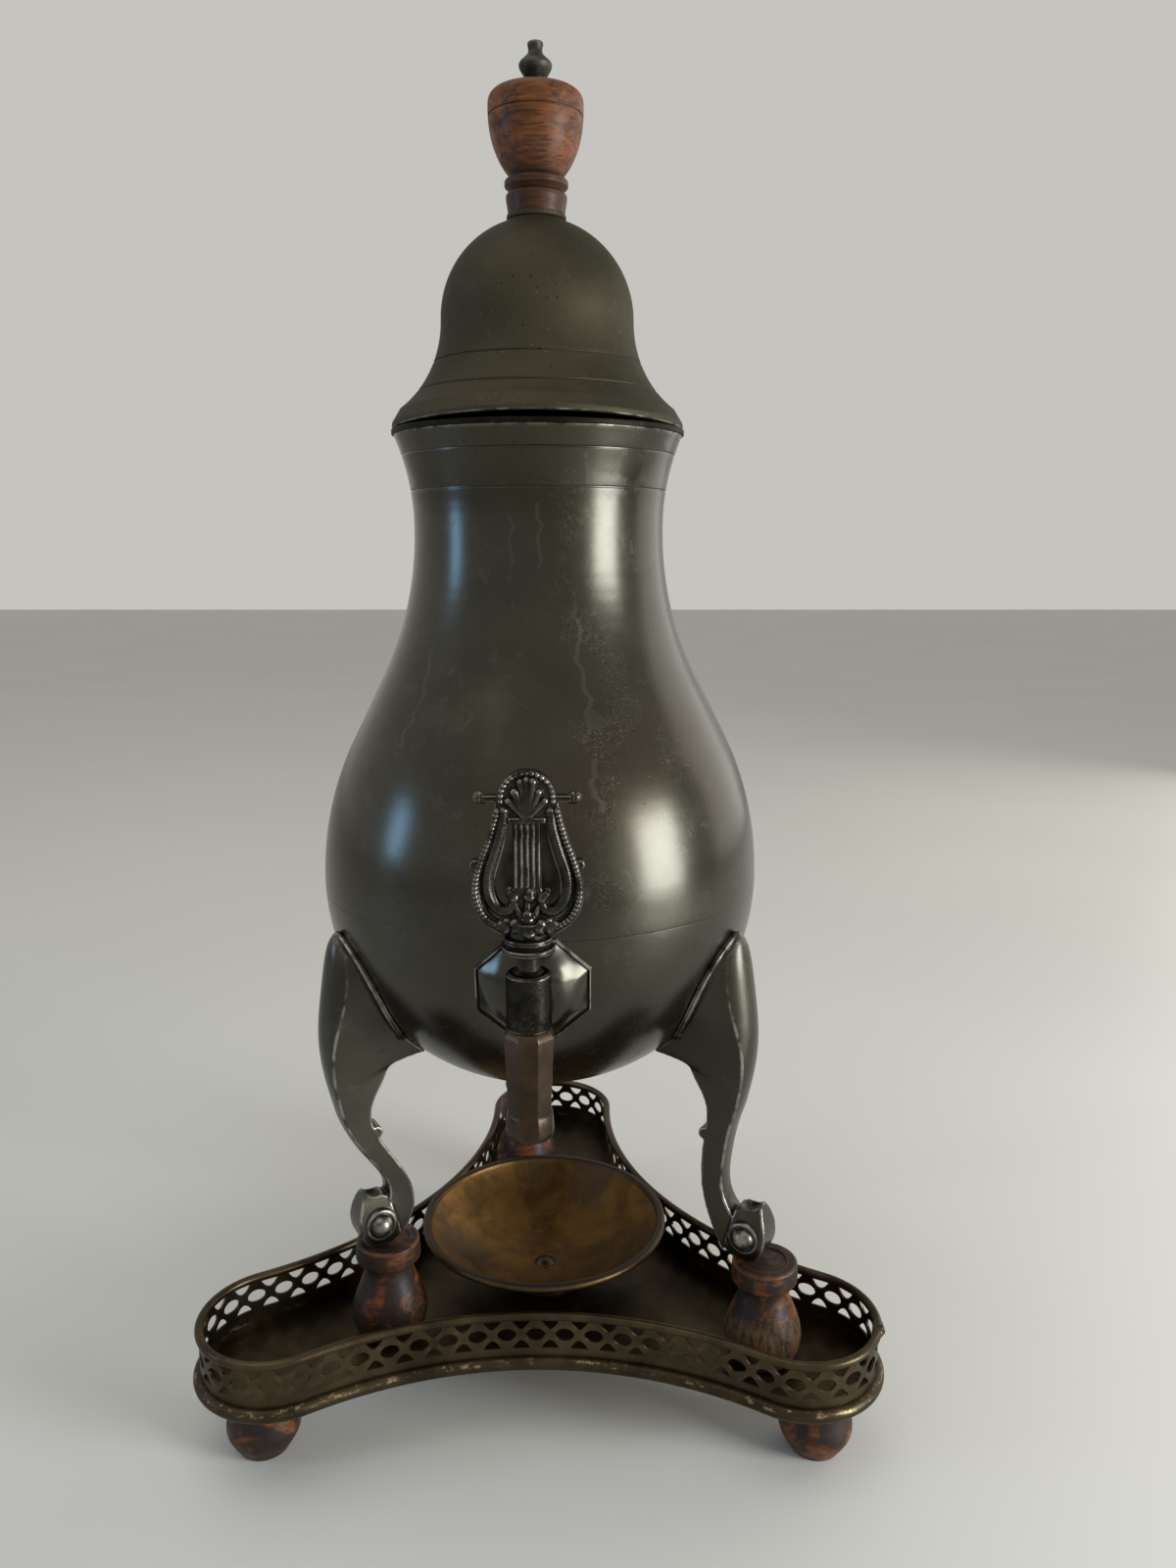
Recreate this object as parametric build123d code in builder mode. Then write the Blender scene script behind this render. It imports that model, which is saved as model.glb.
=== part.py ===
from build123d import *
import os
from math import asin, atan2, cos, degrees, radians, sin, sqrt

os.makedirs("parts", exist_ok=True)

# A pewter tap urn on a pierced brass tray. Sizes are in millimetres. Heights are above the table,
# radii are from the urn's axis, which is Z, and the tap points to -Y.

# Clearances between pieces of one assembly, of the plug that turns in the barrel, and of the lid
seat_gap = 0.05
turning_gap = 0.05
lid_play = 0.4

# Tray outline: a lobe under each leg, joined by hollow sides
lobe_azimuths = {"back": 90.0, "left": 210.0, "right": 330.0}
lobe_distance = 112.0
lobe_radius = 28.0
side_reach = 56.0
plate_thickness = 1.2

# Tray feet, and the screws that hold them
tray_foot_height = 29.0
tray_foot_shift = 7.0
tray_foot_base_radius = 9.0
tray_foot_belly_radius = 12.6
tray_foot_belly_height = 11.5
tray_foot_top_radius = 8.4
screw_radius = 1.4
screw_head_radius = 2.4
screw_length = 15.0

# Gallery: a pierced strip between a half-round bead and a rolled wire
strip_thickness = 0.8
strip_height = 20.6
top_wire_radius = 1.6
top_wire_grip = 1.4
base_bead_radius = 2.7
base_bead_drop = 0.9
pattern_pitch = 10.8
pattern_centre_drop = 7.2
oval_width = 7.0
oval_height = 5.0
ring_width = 1.5
corner_hole_top = 5.6
corner_hole_low = 2.2
corner_hole_width = 6.6

# Dish on its pedestal at the middle of the tray
dish_rim_radius = 46.4
dish_depth = 20.5
dish_wall = 1.4
dish_lip_width = 3.5
dish_lip_height = 3.0
pedestal_height = 5.2
pedestal_base_height = 1.2
pedestal_base_radius = 15.0
pedestal_top_radius = 9.0
rivet_shank_radius = 2.2
rivet_head_radius = 4.3
rivet_head_height = 1.8

# Urn body: a hemisphere below, an S-shaped shoulder and a flared mouth above
belly_radius = 82.3
body_wall = 2.2
shoulder_run = 26.4
shoulder_share = 0.4832
neck_radius = 45.4
neck_rise = 130.0
mouth_curve = 78.0
mouth_rise = 31.5
seam_drop = 3.0
body_line_drops = (7.0, 19.5)
line_width = 0.7
line_depth = 0.35

# Legs: each is a casting with a shield-shaped flange, leaning in or out at the ankle. Shares are
# of the leg's length, which runs from the bottom of the toe to the middle of the belly.
leg_azimuths = {"back": 98.0, "left": 210.0, "right": 330.0}
leg_leans = {"back": 3.0, "left": -6.0, "right": 12.0}
foot_shifts = {"back": 3.0, "left": -4.5, "right": 6.5}
leg_length = 138.25
flange_thickness = 2.0
flange_half_width = 16.0
flange_top_drop = 13.0
flange_widest_drop = 38.0
flange_tip_drop = 64.5
flange_rim_width = 1.3
flange_rim_height = 0.8
lean_top_share = 0.378
lean_bottom_share = 0.06
knop_share = 0.335
knop_inset = 9.6
knop_radius = 2.4
eye_radius = 4.5
eye_rise = 9.5
eye_reach = 78.5
eye_lid_radius = 5.3
eye_lid_thickness = 2.0
toe_half_width = 5.6
toe_reach = 8.2
toe_height = 24.0
toe_hollow_radius = 4.8
peg_radius = 3.0
peg_length = 8.0

# Cross-sections of a leg from its top down to its heel: offset and share of the outer face's
# middle, offset and share of the inner edges, the half width of the outer face, how far its two
# arrises lie behind its middle, and the half width at the inner edges. Offsets are from the leg's
# swing.
face_bulge = 0.12
leg_sections = (
    (1.0, 0.906, -5.4, 0.895, 1.8, 1.0, 2.2),
    (3.0, 0.872, -7.0, 0.840, 7.0, 3.2, 10.0),
    (4.9, 0.800, -11.0, 0.765, 9.4, 4.4, 13.0),
    (6.6, 0.715, -17.0, 0.690, 9.4, 4.0, 11.0),
    (7.8, 0.626, -26.0, 0.607, 8.2, 2.2, 6.0),
    (7.3, 0.550, -32.0, 0.545, 6.8, 0.9, 4.0),
    (5.6, 0.480, -22.0, 0.532, 5.9, 0.3, 4.0),
    (3.6, 0.420, -14.0, 0.492, 5.3, 0.0, 4.2),
    (0.6, 0.350, -8.5, 0.410, 4.9, 0.0, 4.3),
    (-2.0, 0.295, -9.0, 0.345, 4.6, 0.0, 4.3),
    (-4.6, 0.245, -12.0, 0.275, 4.4, 0.0, 4.3),
    (-6.6, 0.195, -14.8, 0.200, 4.3, 0.0, 4.3),
    (-6.6, 0.155, -15.4, 0.135, 4.4, 0.0, 4.2),
    (-4.5, 0.120, -13.3, 0.070, 4.8, 0.0, 4.2),
    (-1.0, 0.090, -8.5, 0.010, 4.8, 0.0, 4.2),
)

# Turned wooden feet of the urn
urn_foot_height = 39.5
urn_foot_base_radius = 11.5
urn_foot_belly_radius = 14.4
urn_foot_belly_height = 11.0
urn_foot_neck_radius = 9.3
urn_foot_neck_height = 27.0
urn_foot_collar_radius = 12.4
urn_foot_collar_height = 8.5
socket_radius = 8.2
socket_depth = 3.0

# Tap: rosette, barrel with its shank, and spout
tap_stand = 22.7
tap_drop = 17.0
rosette_drop = 21.0
rosette_width = 38.5
rosette_rim = 1.8
rosette_rise = 8.0
rosette_middle_width = 29.8
rosette_crown_width = 21.0
shank_radius = 5.2
shank_inside = 8.1
shank_bore_radius = 2.4
barrel_radius = 7.0
barrel_top_rise = 12.6
barrel_bottom_drop = 5.4
barrel_bevel = 0.8
nipple_radius = 5.2
nipple_length = 7.0
spout_length = 36.6
spout_width = 15.0
spout_flare_width = 15.6
spout_waist_width = 14.0
spout_bore_radius = 4.2

# Tap key: tapered plug, collar and lyre
plug_top_radius = 4.7
plug_bottom_radius = 4.0
plug_floor_gap = 0.4
plug_ledge = 1.2
plug_bore_radius = 2.3
key_neck_radius = 3.6
key_neck_length = 6.0
spigot_radius = 2.0
spigot_length = 9.0
collar_thickness = 5.2
collar_radius = 8.1
lyre_thickness = 4.2
lyre_base_radius = 5.8
lyre_base_height = 5.0
lyre_arm_reach = 16.6
lyre_window_reach = 9.9
lyre_channel_width = 1.3
lyre_channel_depth = 0.5
lyre_leaf_radius = 1.5
lyre_flower_radius = 2.6
lyre_head_radius = 8.6
lyre_height = 51.4
lyre_column_width = 8.4
lyre_capital_height = 1.5
lyre_capital_depth = 0.5
string_count = 4
string_gap = 0.9
ball_radius = 1.8
ball_reach = 13.0

# Lid: a bell with a flared skirt, on a turned bezel that seats in the mouth
bezel_overhang = 0.8
bezel_thickness = 1.8
bezel_depth = 8.0
bezel_wall = 1.6
lid_wall = 1.8
dome_radius = 34.3
dome_rise = 39.5
skirt_curve = 39.0
skirt_end_inset = 3.35
skirt_edge_height = 2.0
skirt_edge_inset = 0.4
skirt_line_drops = (14.7, 24.5)
lid_boss_radius = 10.4
lid_boss_height = 3.05

# Wooden knob, finial with its rod, and nut
knob_foot_radius = 9.9
knob_band_radius = 10.7
knob_waist_radius = 9.4
knob_ring_radius = 11.2
knob_cup_radius = 16.6
knob_height = 41.6
knob_line_drop = 10.2
knob_line_width = 0.7
knob_line_depth = 0.5
rod_radius = 1.6
finial_height = 14.0
finial_bulb_radius = 5.6
finial_stem_radius = 3.4
finial_neck_radius = 2.4
nut_width = 7.0
nut_thickness = 2.6

# Places that follow from the sizes above
plate_top = tray_foot_height + plate_thickness
strip_top = plate_top + strip_height
side_squeeze = side_reach - lobe_radius
side_centre = (lobe_distance**2 - side_squeeze**2) / (lobe_distance - 2 * side_squeeze)
tray_foot_distance = lobe_distance + tray_foot_shift
urn_foot_top = plate_top + urn_foot_height
toe_bottom = urn_foot_top + seat_gap
belly_height = toe_bottom + leg_length
seam_height = belly_height - seam_drop
neck_height = belly_height + neck_rise
mouth_height = neck_height + mouth_rise
tap_distance = belly_radius + tap_stand
tap_height = belly_height - tap_drop


def polar(radius, azimuth, height=0.0):
    """The point at a radius, azimuth and height."""
    return Vector(radius * cos(radians(azimuth)), radius * sin(radians(azimuth)), height)


def side_plane(azimuth):
    """The upright plane through the axis, with its x pointing outwards and its y up."""
    return Plane(origin=(0, 0, 0), x_dir=polar(1, azimuth), z_dir=polar(1, azimuth - 90))


def front_plane(azimuth):
    """The upright plane across the same azimuth, seen from outside, with its y up."""
    return Plane(origin=(0, 0, 0), x_dir=polar(1, azimuth + 90), z_dir=polar(1, azimuth))


def turning_plane(place):
    """The upright plane of a turned profile whose axis stands at a place."""
    return Plane(origin=place, x_dir=(1, 0, 0), z_dir=(0, -1, 0))


# The tray


def tray_outline(grow, height):
    """The closed outline of six tangent arcs at a height, moved outwards by grow."""
    arc_radius = lobe_radius + grow
    with BuildLine() as outline:
        for azimuth in lobe_azimuths.values():
            lobe = polar(lobe_distance, azimuth, height)
            next_lobe = polar(lobe_distance, azimuth + 120, height)
            before = polar(side_centre, azimuth - 60, height)
            after = polar(side_centre, azimuth + 60, height)
            lobe_start = lobe + (before - lobe).normalized() * arc_radius
            lobe_end = lobe + (after - lobe).normalized() * arc_radius
            side_end = next_lobe + (after - next_lobe).normalized() * arc_radius
            ThreePointArc(lobe_start, polar(lobe_distance + arc_radius, azimuth, height), lobe_end)
            ThreePointArc(lobe_end, polar(side_reach + grow, azimuth + 60, height), side_end)
    return outline.wire()


def section_plane(path):
    """The plane across the start of a path, with its x pointing outwards and its y up."""
    along = path.tangent_at(0)
    return Plane(path.position_at(0), x_dir=along.cross(Vector(0, 0, 1)), z_dir=-along)


screw_places = [polar(tray_foot_distance, a, plate_top) for a in lobe_azimuths.values()]

with BuildPart() as tray_plate:
    with BuildSketch(Plane.XY.offset(tray_foot_height)):
        make_face(tray_outline(0, 0).edges())
    extrude(amount=plate_thickness)
    with Locations(*screw_places):
        CounterSinkHole(screw_radius + seat_gap, screw_head_radius + seat_gap, depth=plate_thickness)
    with Locations((0, 0, plate_top)):
        Hole(rivet_shank_radius + seat_gap, depth=plate_thickness)
tray_plate.part.label = "tray_plate"
export_step(tray_plate.part, "parts/tray_plate.step")

for side, azimuth in lobe_azimuths.items():
    stand = polar(tray_foot_distance, azimuth)
    with BuildPart() as tray_foot:
        with BuildSketch(turning_plane(stand)):
            with BuildLine():
                Spline(
                    (tray_foot_base_radius, 0),
                    (tray_foot_belly_radius, tray_foot_belly_height),
                    (tray_foot_top_radius, tray_foot_height),
                )
                Polyline(
                    (tray_foot_top_radius, tray_foot_height),
                    (0, tray_foot_height),
                    (0, 0),
                    (tray_foot_base_radius, 0),
                )
            make_face()
        revolve(axis=Axis(stand, (0, 0, 1)))
        with Locations(stand + Vector(0, 0, tray_foot_height)):
            Hole(screw_radius + seat_gap, depth=screw_length)
    tray_foot.part.label = f"tray_foot_{side}"
    export_step(tray_foot.part, f"parts/tray_foot_{side}.step")

# The screws are sunk flush with the plate.
with BuildPart() as tray_foot_screws:
    for place in screw_places:
        with BuildSketch(turning_plane(place)):
            head_depth = screw_head_radius - screw_radius
            Polygon(
                (0, 0),
                (screw_head_radius, 0),
                (screw_radius, -head_depth),
                (screw_radius, -screw_length),
                (0, -screw_length - screw_radius),
                align=None,
            )
        revolve(axis=Axis(place, (0, 0, 1)))
tray_foot_screws.part.label = "tray_foot_screws"
export_step(tray_foot_screws.part, "parts/tray_foot_screws.step")

# The strip stands on the edge of the plate. Ovals alternate with pairs of three-cornered holes,
# whose hollow sides follow the rings round the ovals.
strip_middle = tray_outline(-strip_thickness / 2, strip_top - pattern_centre_drop)
pattern_count = round(strip_middle.length / pattern_pitch)


def piercing_planes(shift):
    """A plane for each repeat, square to the strip, with its x along it and its y up."""
    planes = []
    for i in range(pattern_count):
        u = (i + shift) / pattern_count
        along = strip_middle.tangent_at(u)
        planes.append(Plane(strip_middle.position_at(u), along, along.cross(Vector(0, 0, 1))))
    return planes


with BuildSketch() as corner_hole:
    with BuildLine():
        half_width = corner_hole_width / 2
        mid_x = half_width * 0.42
        mid_y = (corner_hole_low + corner_hole_top) / 2 - ring_width * 0.2
        Line((-half_width, corner_hole_top), (half_width, corner_hole_top))
        ThreePointArc((half_width, corner_hole_top), (mid_x, mid_y), (0, corner_hole_low))
        ThreePointArc((0, corner_hole_low), (-mid_x, mid_y), (-half_width, corner_hole_top))
    make_face()

with BuildPart() as gallery_strip:
    with BuildSketch(Plane.XY.offset(plate_top)):
        make_face(tray_outline(0, 0).edges())
        make_face(tray_outline(-strip_thickness, 0).edges(), mode=Mode.SUBTRACT)
    extrude(amount=strip_height)
    with BuildSketch(*piercing_planes(0)):
        Ellipse(oval_width / 2, oval_height / 2)
    with BuildSketch(*piercing_planes(0.5)):
        add(corner_hole.sketch)
        add(corner_hole.sketch.mirror(Plane.XZ))
    extrude(amount=2 * strip_thickness, both=True, mode=Mode.SUBTRACT)
gallery_strip.part.label = "gallery_strip"
export_step(gallery_strip.part, "parts/gallery_strip.step")

with BuildPart() as gallery_top_wire:
    wire_path = tray_outline(-strip_thickness / 2, strip_top - top_wire_grip + top_wire_radius)
    with BuildSketch(section_plane(wire_path)):
        Circle(top_wire_radius)
        with Locations((0, -top_wire_radius)):
            Rectangle(
                strip_thickness + 2 * seat_gap,
                2 * (top_wire_grip + seat_gap),
                mode=Mode.SUBTRACT,
            )
    sweep(path=wire_path)
gallery_top_wire.part.label = "gallery_top_wire"
export_step(gallery_top_wire.part, "parts/gallery_top_wire.step")

with BuildPart() as gallery_base_bead:
    bead_path = tray_outline(seat_gap, plate_top + base_bead_radius - base_bead_drop)
    with BuildSketch(section_plane(bead_path)):
        with BuildLine():
            ThreePointArc((0, -base_bead_radius), (base_bead_radius, 0), (0, base_bead_radius))
            Line((0, base_bead_radius), (0, -base_bead_radius))
        make_face()
    sweep(path=bead_path)
gallery_base_bead.part.label = "gallery_base_bead"
export_step(gallery_base_bead.part, "parts/gallery_base_bead.step")

# The dish

# The bowl is part of a ball. The rivet's shank passes through bowl, pedestal and plate.
bowl_curve = (dish_rim_radius**2 + dish_depth**2) / (2 * dish_depth)
bowl_under = plate_top + pedestal_height
bowl_floor = bowl_under + dish_wall
dish_rim_height = bowl_floor + dish_depth


def bowl_arc(inset):
    """The bowl's arc from the axis to the rim, its wall moved out by inset."""
    ball_height = bowl_floor + bowl_curve
    ball_radius_here = bowl_curve + inset
    climb = degrees(asin((dish_rim_height - bowl_floor - bowl_curve) / ball_radius_here))
    return CenterArc((0, ball_height), ball_radius_here, -90, climb + 90, mode=Mode.PRIVATE)


with BuildPart() as dish_bowl:
    with BuildSketch(Plane.XZ):
        with BuildLine():
            add(bowl_arc(0))
            outside = add(bowl_arc(dish_wall))
            Line((0, bowl_floor), (0, bowl_under))
            Line((dish_rim_radius, dish_rim_height), outside.edges().sort_by(Axis.X)[-1] @ 1)
        make_face()
        with Locations((dish_rim_radius + dish_lip_width / 2, dish_rim_height)):
            RectangleRounded(dish_lip_width, dish_lip_height, dish_lip_height * 0.45)
    revolve(axis=Axis.Z)
    with Locations((0, 0, bowl_floor)):
        Hole(rivet_shank_radius + seat_gap, depth=2 * dish_wall)
dish_bowl.part.label = "dish_bowl"
export_step(dish_bowl.part, "parts/dish_bowl.step")

with BuildPart() as dish_pedestal:
    with BuildSketch(Plane.XZ):
        with BuildLine():
            Polyline(
                (0, bowl_under),
                (0, plate_top),
                (pedestal_base_radius, plate_top),
                (pedestal_base_radius, plate_top + pedestal_base_height),
            )
            RadiusArc(
                (pedestal_base_radius, plate_top + pedestal_base_height),
                (pedestal_top_radius, bowl_under + dish_wall),
                2 * pedestal_top_radius,
            )
            Line((pedestal_top_radius, bowl_under + dish_wall), (0, bowl_under + dish_wall))
            Line((0, bowl_under + dish_wall), (0, bowl_under))
        make_face()
    revolve(axis=Axis.Z)
    with Locations((0, 0, bowl_floor + bowl_curve)):
        Sphere(bowl_curve + dish_wall + seat_gap, mode=Mode.SUBTRACT)
    with Locations((0, 0, bowl_floor)):
        Hole(rivet_shank_radius + seat_gap, depth=bowl_floor)
dish_pedestal.part.label = "dish_pedestal"
export_step(dish_pedestal.part, "parts/dish_pedestal.step")

with BuildPart() as dish_rivet:
    with BuildSketch(Plane.XZ):
        head_seat = bowl_floor + bowl_curve - sqrt(bowl_curve**2 - rivet_head_radius**2)
        head_top = head_seat + rivet_head_height
        head_curve = (rivet_head_radius**2 + rivet_head_height**2) / (2 * rivet_head_height)
        head_turn = degrees(asin(rivet_head_radius / head_curve))
        with BuildLine():
            CenterArc((0, head_top - head_curve), head_curve, 90 - head_turn, head_turn)
            Polyline(
                (0, head_top),
                (0, tray_foot_height - rivet_head_height),
                (rivet_head_radius * 0.7, tray_foot_height - rivet_head_height),
                (rivet_head_radius, tray_foot_height - rivet_head_height * 0.5),
                (rivet_head_radius, tray_foot_height),
                (rivet_shank_radius, tray_foot_height),
                (rivet_shank_radius, head_seat),
                (rivet_head_radius, head_seat),
            )
        make_face()
    revolve(axis=Axis.Z)
dish_rivet.part.label = "dish_rivet"
export_step(dish_rivet.part, "parts/dish_rivet.step")

# The urn's body

# Two arcs with one straight run between them carry the wall from the belly to the neck. The run
# and the fall from belly to neck settle the sum of the two radii.
neck_fall = belly_radius - neck_radius
curve_sum = (neck_fall**2 + neck_rise**2 - shoulder_run**2) / (2 * neck_fall)
shoulder_curve = shoulder_share * curve_sum
neck_curve = curve_sum - shoulder_curve
centre_gap = curve_sum - neck_fall
shoulder_slope = degrees(atan2(neck_rise, centre_gap) - atan2(shoulder_run, curve_sum))


def body_wall_line(inset):
    """The wall's profile from the bottom of the bowl to the mouth, moved inwards by inset."""
    mouth_turn = degrees(asin(mouth_rise / (mouth_curve + inset)))
    with BuildLine() as wall:
        CenterArc((0, belly_height), belly_radius - inset, -90, 90)
        shoulder = CenterArc(
            (belly_radius - shoulder_curve, belly_height), shoulder_curve - inset, 0, shoulder_slope
        )
        neck = CenterArc(
            (neck_radius + neck_curve, neck_height), neck_curve + inset, 180, shoulder_slope
        )
        Line(shoulder @ 1, neck @ 1)
        CenterArc(
            (neck_radius + mouth_curve, neck_height), mouth_curve + inset, 180, -mouth_turn
        )
    return wall.line


def mouth_radius(height, inset=0.0):
    """The radius of the flared mouth at a height, moved inwards by inset."""
    return neck_radius + mouth_curve - sqrt((mouth_curve + inset) ** 2 - (height - neck_height) ** 2)


def body_shell():
    """The whole shell of the body as one solid, with the lines scribed below its mouth."""
    with BuildPart() as shell:
        with BuildSketch(Plane.XZ):
            with BuildLine():
                add(body_wall_line(0))
                add(body_wall_line(body_wall))
                bottom = belly_height - belly_radius
                Line((0, bottom), (0, bottom + body_wall))
                Line(
                    (mouth_radius(mouth_height), mouth_height),
                    (mouth_radius(mouth_height, body_wall), mouth_height),
                )
            make_face()
            for drop in body_line_drops:
                height = mouth_height - drop
                with Locations((mouth_radius(height), height)):
                    Rectangle(2 * line_depth, line_width, mode=Mode.SUBTRACT)
        revolve(axis=Axis.Z)
    return shell.part


with BuildPart() as body_upper:
    add(body_shell())
    split(bisect_by=Plane.XY.offset(seam_height), keep=Keep.TOP)
body_upper.part.label = "body_upper"
export_step(body_upper.part, "parts/body_upper.step")

with BuildPart() as body_lower:
    add(body_shell())
    split(bisect_by=Plane.XY.offset(seam_height), keep=Keep.BOTTOM)
    with Locations(Plane((0, 0, tap_height), z_dir=(0, -1, 0))):
        Cylinder(
            shank_radius + seat_gap,
            tap_distance,
            align=(Align.CENTER, Align.CENTER, Align.MIN),
            mode=Mode.SUBTRACT,
        )
body_lower.part.label = "body_lower"
export_step(body_lower.part, "parts/body_lower.step")

# The legs and their feet

flange_top = belly_height - flange_top_drop
flange_widest = belly_height - flange_widest_drop
flange_tip = belly_height - flange_tip_drop
eye_height = toe_bottom + eye_rise


def leg_height(share):
    """The height at a share of the leg's length."""
    return toe_bottom + share * leg_length


def leg_reach(share, lean):
    """The radius that the leg swings to: the belly's at its top, the toe's eye at its bottom."""
    fall = min(1, max(0, (lean_top_share - share) / (lean_top_share - lean_bottom_share)))
    eased = fall * fall * (3 - 2 * fall)
    return belly_radius * (1 - eased) + (eye_reach + lean) * eased


def shield_outline(inset):
    """The flange's outline seen from outside, or a smaller one inside it."""
    with BuildLine() as outline:
        edge = Spline(
            (0, flange_top - 1.2 * inset),
            (flange_half_width - inset, flange_widest),
            (flange_half_width * 0.35 - inset, (flange_tip + flange_widest) / 2 - 5),
            (0, flange_tip + 3 * inset),
            tangents=((1, -0.35), (-0.2, -1)),
        )
        mirror(edge, about=Plane.YZ)
    return outline.line


for side, azimuth in leg_azimuths.items():
    lean = leg_leans[side]
    across = front_plane(azimuth)
    toe_axis = eye_reach + lean
    eye = polar(toe_axis, azimuth, eye_height)
    toe_top = toe_bottom + toe_height

    # The flange is the part of a thin ball-shaped skin that lies behind the shield. Its rim stands
    # proud of the panel inside it.
    with BuildPart() as flange:
        with BuildSketch(across):
            make_face(shield_outline(0).edges())
        extrude(amount=belly_radius + 2 * flange_thickness)
        with Locations((0, 0, belly_height)):
            Sphere(belly_radius + flange_thickness, mode=Mode.INTERSECT)

    with BuildPart() as flange_panel:
        with BuildSketch(across):
            make_face(shield_outline(flange_rim_width).edges())
        extrude(amount=belly_radius + 2 * flange_thickness)
        with Locations((0, 0, belly_height)):
            Sphere(belly_radius + flange_thickness - flange_rim_height, mode=Mode.SUBTRACT)

    # The limb has a flat outer face between two arrises, and cheeks that spread to the shield.
    with BuildPart() as limb:
        for outer, outer_share, inner, inner_share, arris, set_back, back in leg_sections:
            front = polar(leg_reach(outer_share, lean) + outer, azimuth, leg_height(outer_share))
            rear = polar(leg_reach(inner_share, lean) + inner, azimuth, leg_height(inner_share))
            reach = (front - rear).length
            shoulder = reach - set_back
            facing = (front - rear).normalized()
            sideways = polar(1, azimuth + 90)
            with BuildSketch(Plane(rear, x_dir=facing, z_dir=facing.cross(sideways))):
                with BuildLine():
                    ThreePointArc(
                        (shoulder, -arris), (reach + face_bulge * arris, 0), (shoulder, arris)
                    )
                    Polyline((shoulder, arris), (0, back), (0, -back), (shoulder, -arris))
                make_face()
        loft()

    # The toe is a leaf that curls up in front of the eyes, hollow behind its point.
    with BuildPart() as toe:
        with BuildSketch(side_plane(azimuth)):
            with BuildLine():
                leaf = Spline(
                    (toe_axis + toe_reach * 0.35, toe_bottom),
                    (toe_axis + toe_reach, toe_bottom + toe_height / 2),
                    (toe_axis + toe_reach * 0.6, toe_top),
                    tangents=((1, 0.5), (-0.3, 1)),
                )
                Polyline(
                    leaf @ 1,
                    (toe_axis - toe_reach * 0.5, toe_bottom + toe_height * 0.8),
                    (toe_axis - toe_reach, toe_bottom + toe_height * 0.15),
                    (toe_axis - toe_reach * 0.6, toe_bottom),
                    leaf @ 0,
                )
            make_face()
        extrude(amount=2 * toe_half_width, both=True)
        with BuildSketch(across):
            with BuildLine():
                rib = Spline(
                    (toe_half_width * 0.75, toe_bottom),
                    (toe_half_width * 1.08, toe_bottom + toe_height * 0.25),
                    (toe_half_width, toe_bottom + toe_height * 0.58),
                    (toe_half_width * 0.65, toe_bottom + toe_height * 0.83),
                    (0, toe_top),
                )
                mirror(rib, about=Plane.YZ)
                Line(rib @ 0, (-(rib @ 0).X, (rib @ 0).Y))
            make_face()
        extrude(amount=2 * belly_radius, mode=Mode.INTERSECT)
        with Locations(polar(toe_axis + toe_reach * 0.08, azimuth, toe_top)):
            Sphere(toe_hollow_radius, mode=Mode.SUBTRACT)

    with BuildPart() as leg:
        add(flange.part)
        add(flange_panel.part, mode=Mode.SUBTRACT)
        add(limb.part)
        add(toe.part)
        with Locations((0, 0, belly_height)):
            Sphere(belly_radius + seat_gap, mode=Mode.SUBTRACT)
        for way in (-1, 1):
            place = eye + polar(way * toe_half_width, azimuth + 90)
            with Locations(Plane(place, x_dir=polar(1, azimuth), z_dir=polar(1, azimuth + 90))):
                Torus(eye_lid_radius, eye_lid_thickness / 2)
                Sphere(eye_radius)
        knop_reach = leg_reach(knop_share, lean) - knop_inset
        knop = polar(knop_reach, azimuth, leg_height(knop_share))
        with Locations(Plane(knop, x_dir=polar(1, azimuth), z_dir=polar(1, azimuth + 90))):
            Cylinder(knop_radius, 2 * leg_sections[-1][-1])
        slack = socket_radius - peg_radius - 4 * seat_gap
        foot_reach = toe_axis + foot_shifts[side]
        peg_reach = foot_reach + max(-slack, min(slack, -foot_shifts[side]))
        with Locations(polar(peg_reach, azimuth, toe_bottom + peg_radius)):
            Cylinder(
                peg_radius,
                socket_depth + peg_length + peg_radius,
                align=(Align.CENTER, Align.CENTER, Align.MAX),
            )
    leg.part.label = f"leg_{side}"
    export_step(leg.part, f"parts/leg_{side}.step")

    stand = polar(foot_reach, azimuth, plate_top)
    with BuildPart() as urn_foot:
        with BuildSketch(turning_plane(stand)):
            collar_low = urn_foot_height - urn_foot_collar_height
            with BuildLine():
                Spline(
                    (urn_foot_base_radius, 0),
                    (urn_foot_belly_radius, urn_foot_belly_height),
                    (urn_foot_neck_radius, urn_foot_neck_height),
                    (urn_foot_neck_radius, collar_low),
                    tangents=((0.5, 1), (0.15, 1)),
                )
                Polyline(
                    (urn_foot_neck_radius, collar_low),
                    (urn_foot_collar_radius, collar_low + 1),
                    (urn_foot_collar_radius - 0.4, urn_foot_height),
                    (socket_radius, urn_foot_height),
                    (socket_radius, urn_foot_height - socket_depth),
                    (0, urn_foot_height - socket_depth),
                    (0, 0),
                    (urn_foot_base_radius, 0),
                )
            make_face()
        revolve(axis=Axis(stand, (0, 0, 1)))
        with Locations(polar(peg_reach, azimuth, urn_foot_top - socket_depth)):
            Hole(peg_radius + seat_gap, depth=peg_length + seat_gap)
    urn_foot.part.label = f"urn_foot_{side}"
    export_step(urn_foot.part, f"parts/urn_foot_{side}.step")

# The tap

ball_centre = Vector(0, 0, belly_height)
rosette_axis = Vector(0, -sqrt(belly_radius**2 - rosette_drop**2), -rosette_drop).normalized()
rosette_corner = rosette_width / 2 / cos(radians(22.5))
rosette_seat = sqrt(belly_radius**2 - rosette_corner**2)


def rosette_plane(distance):
    """The plane across the rosette's axis, at a distance from the middle of the belly."""
    return Plane(ball_centre + rosette_axis * distance, x_dir=(1, 0, 0), z_dir=rosette_axis)


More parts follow.
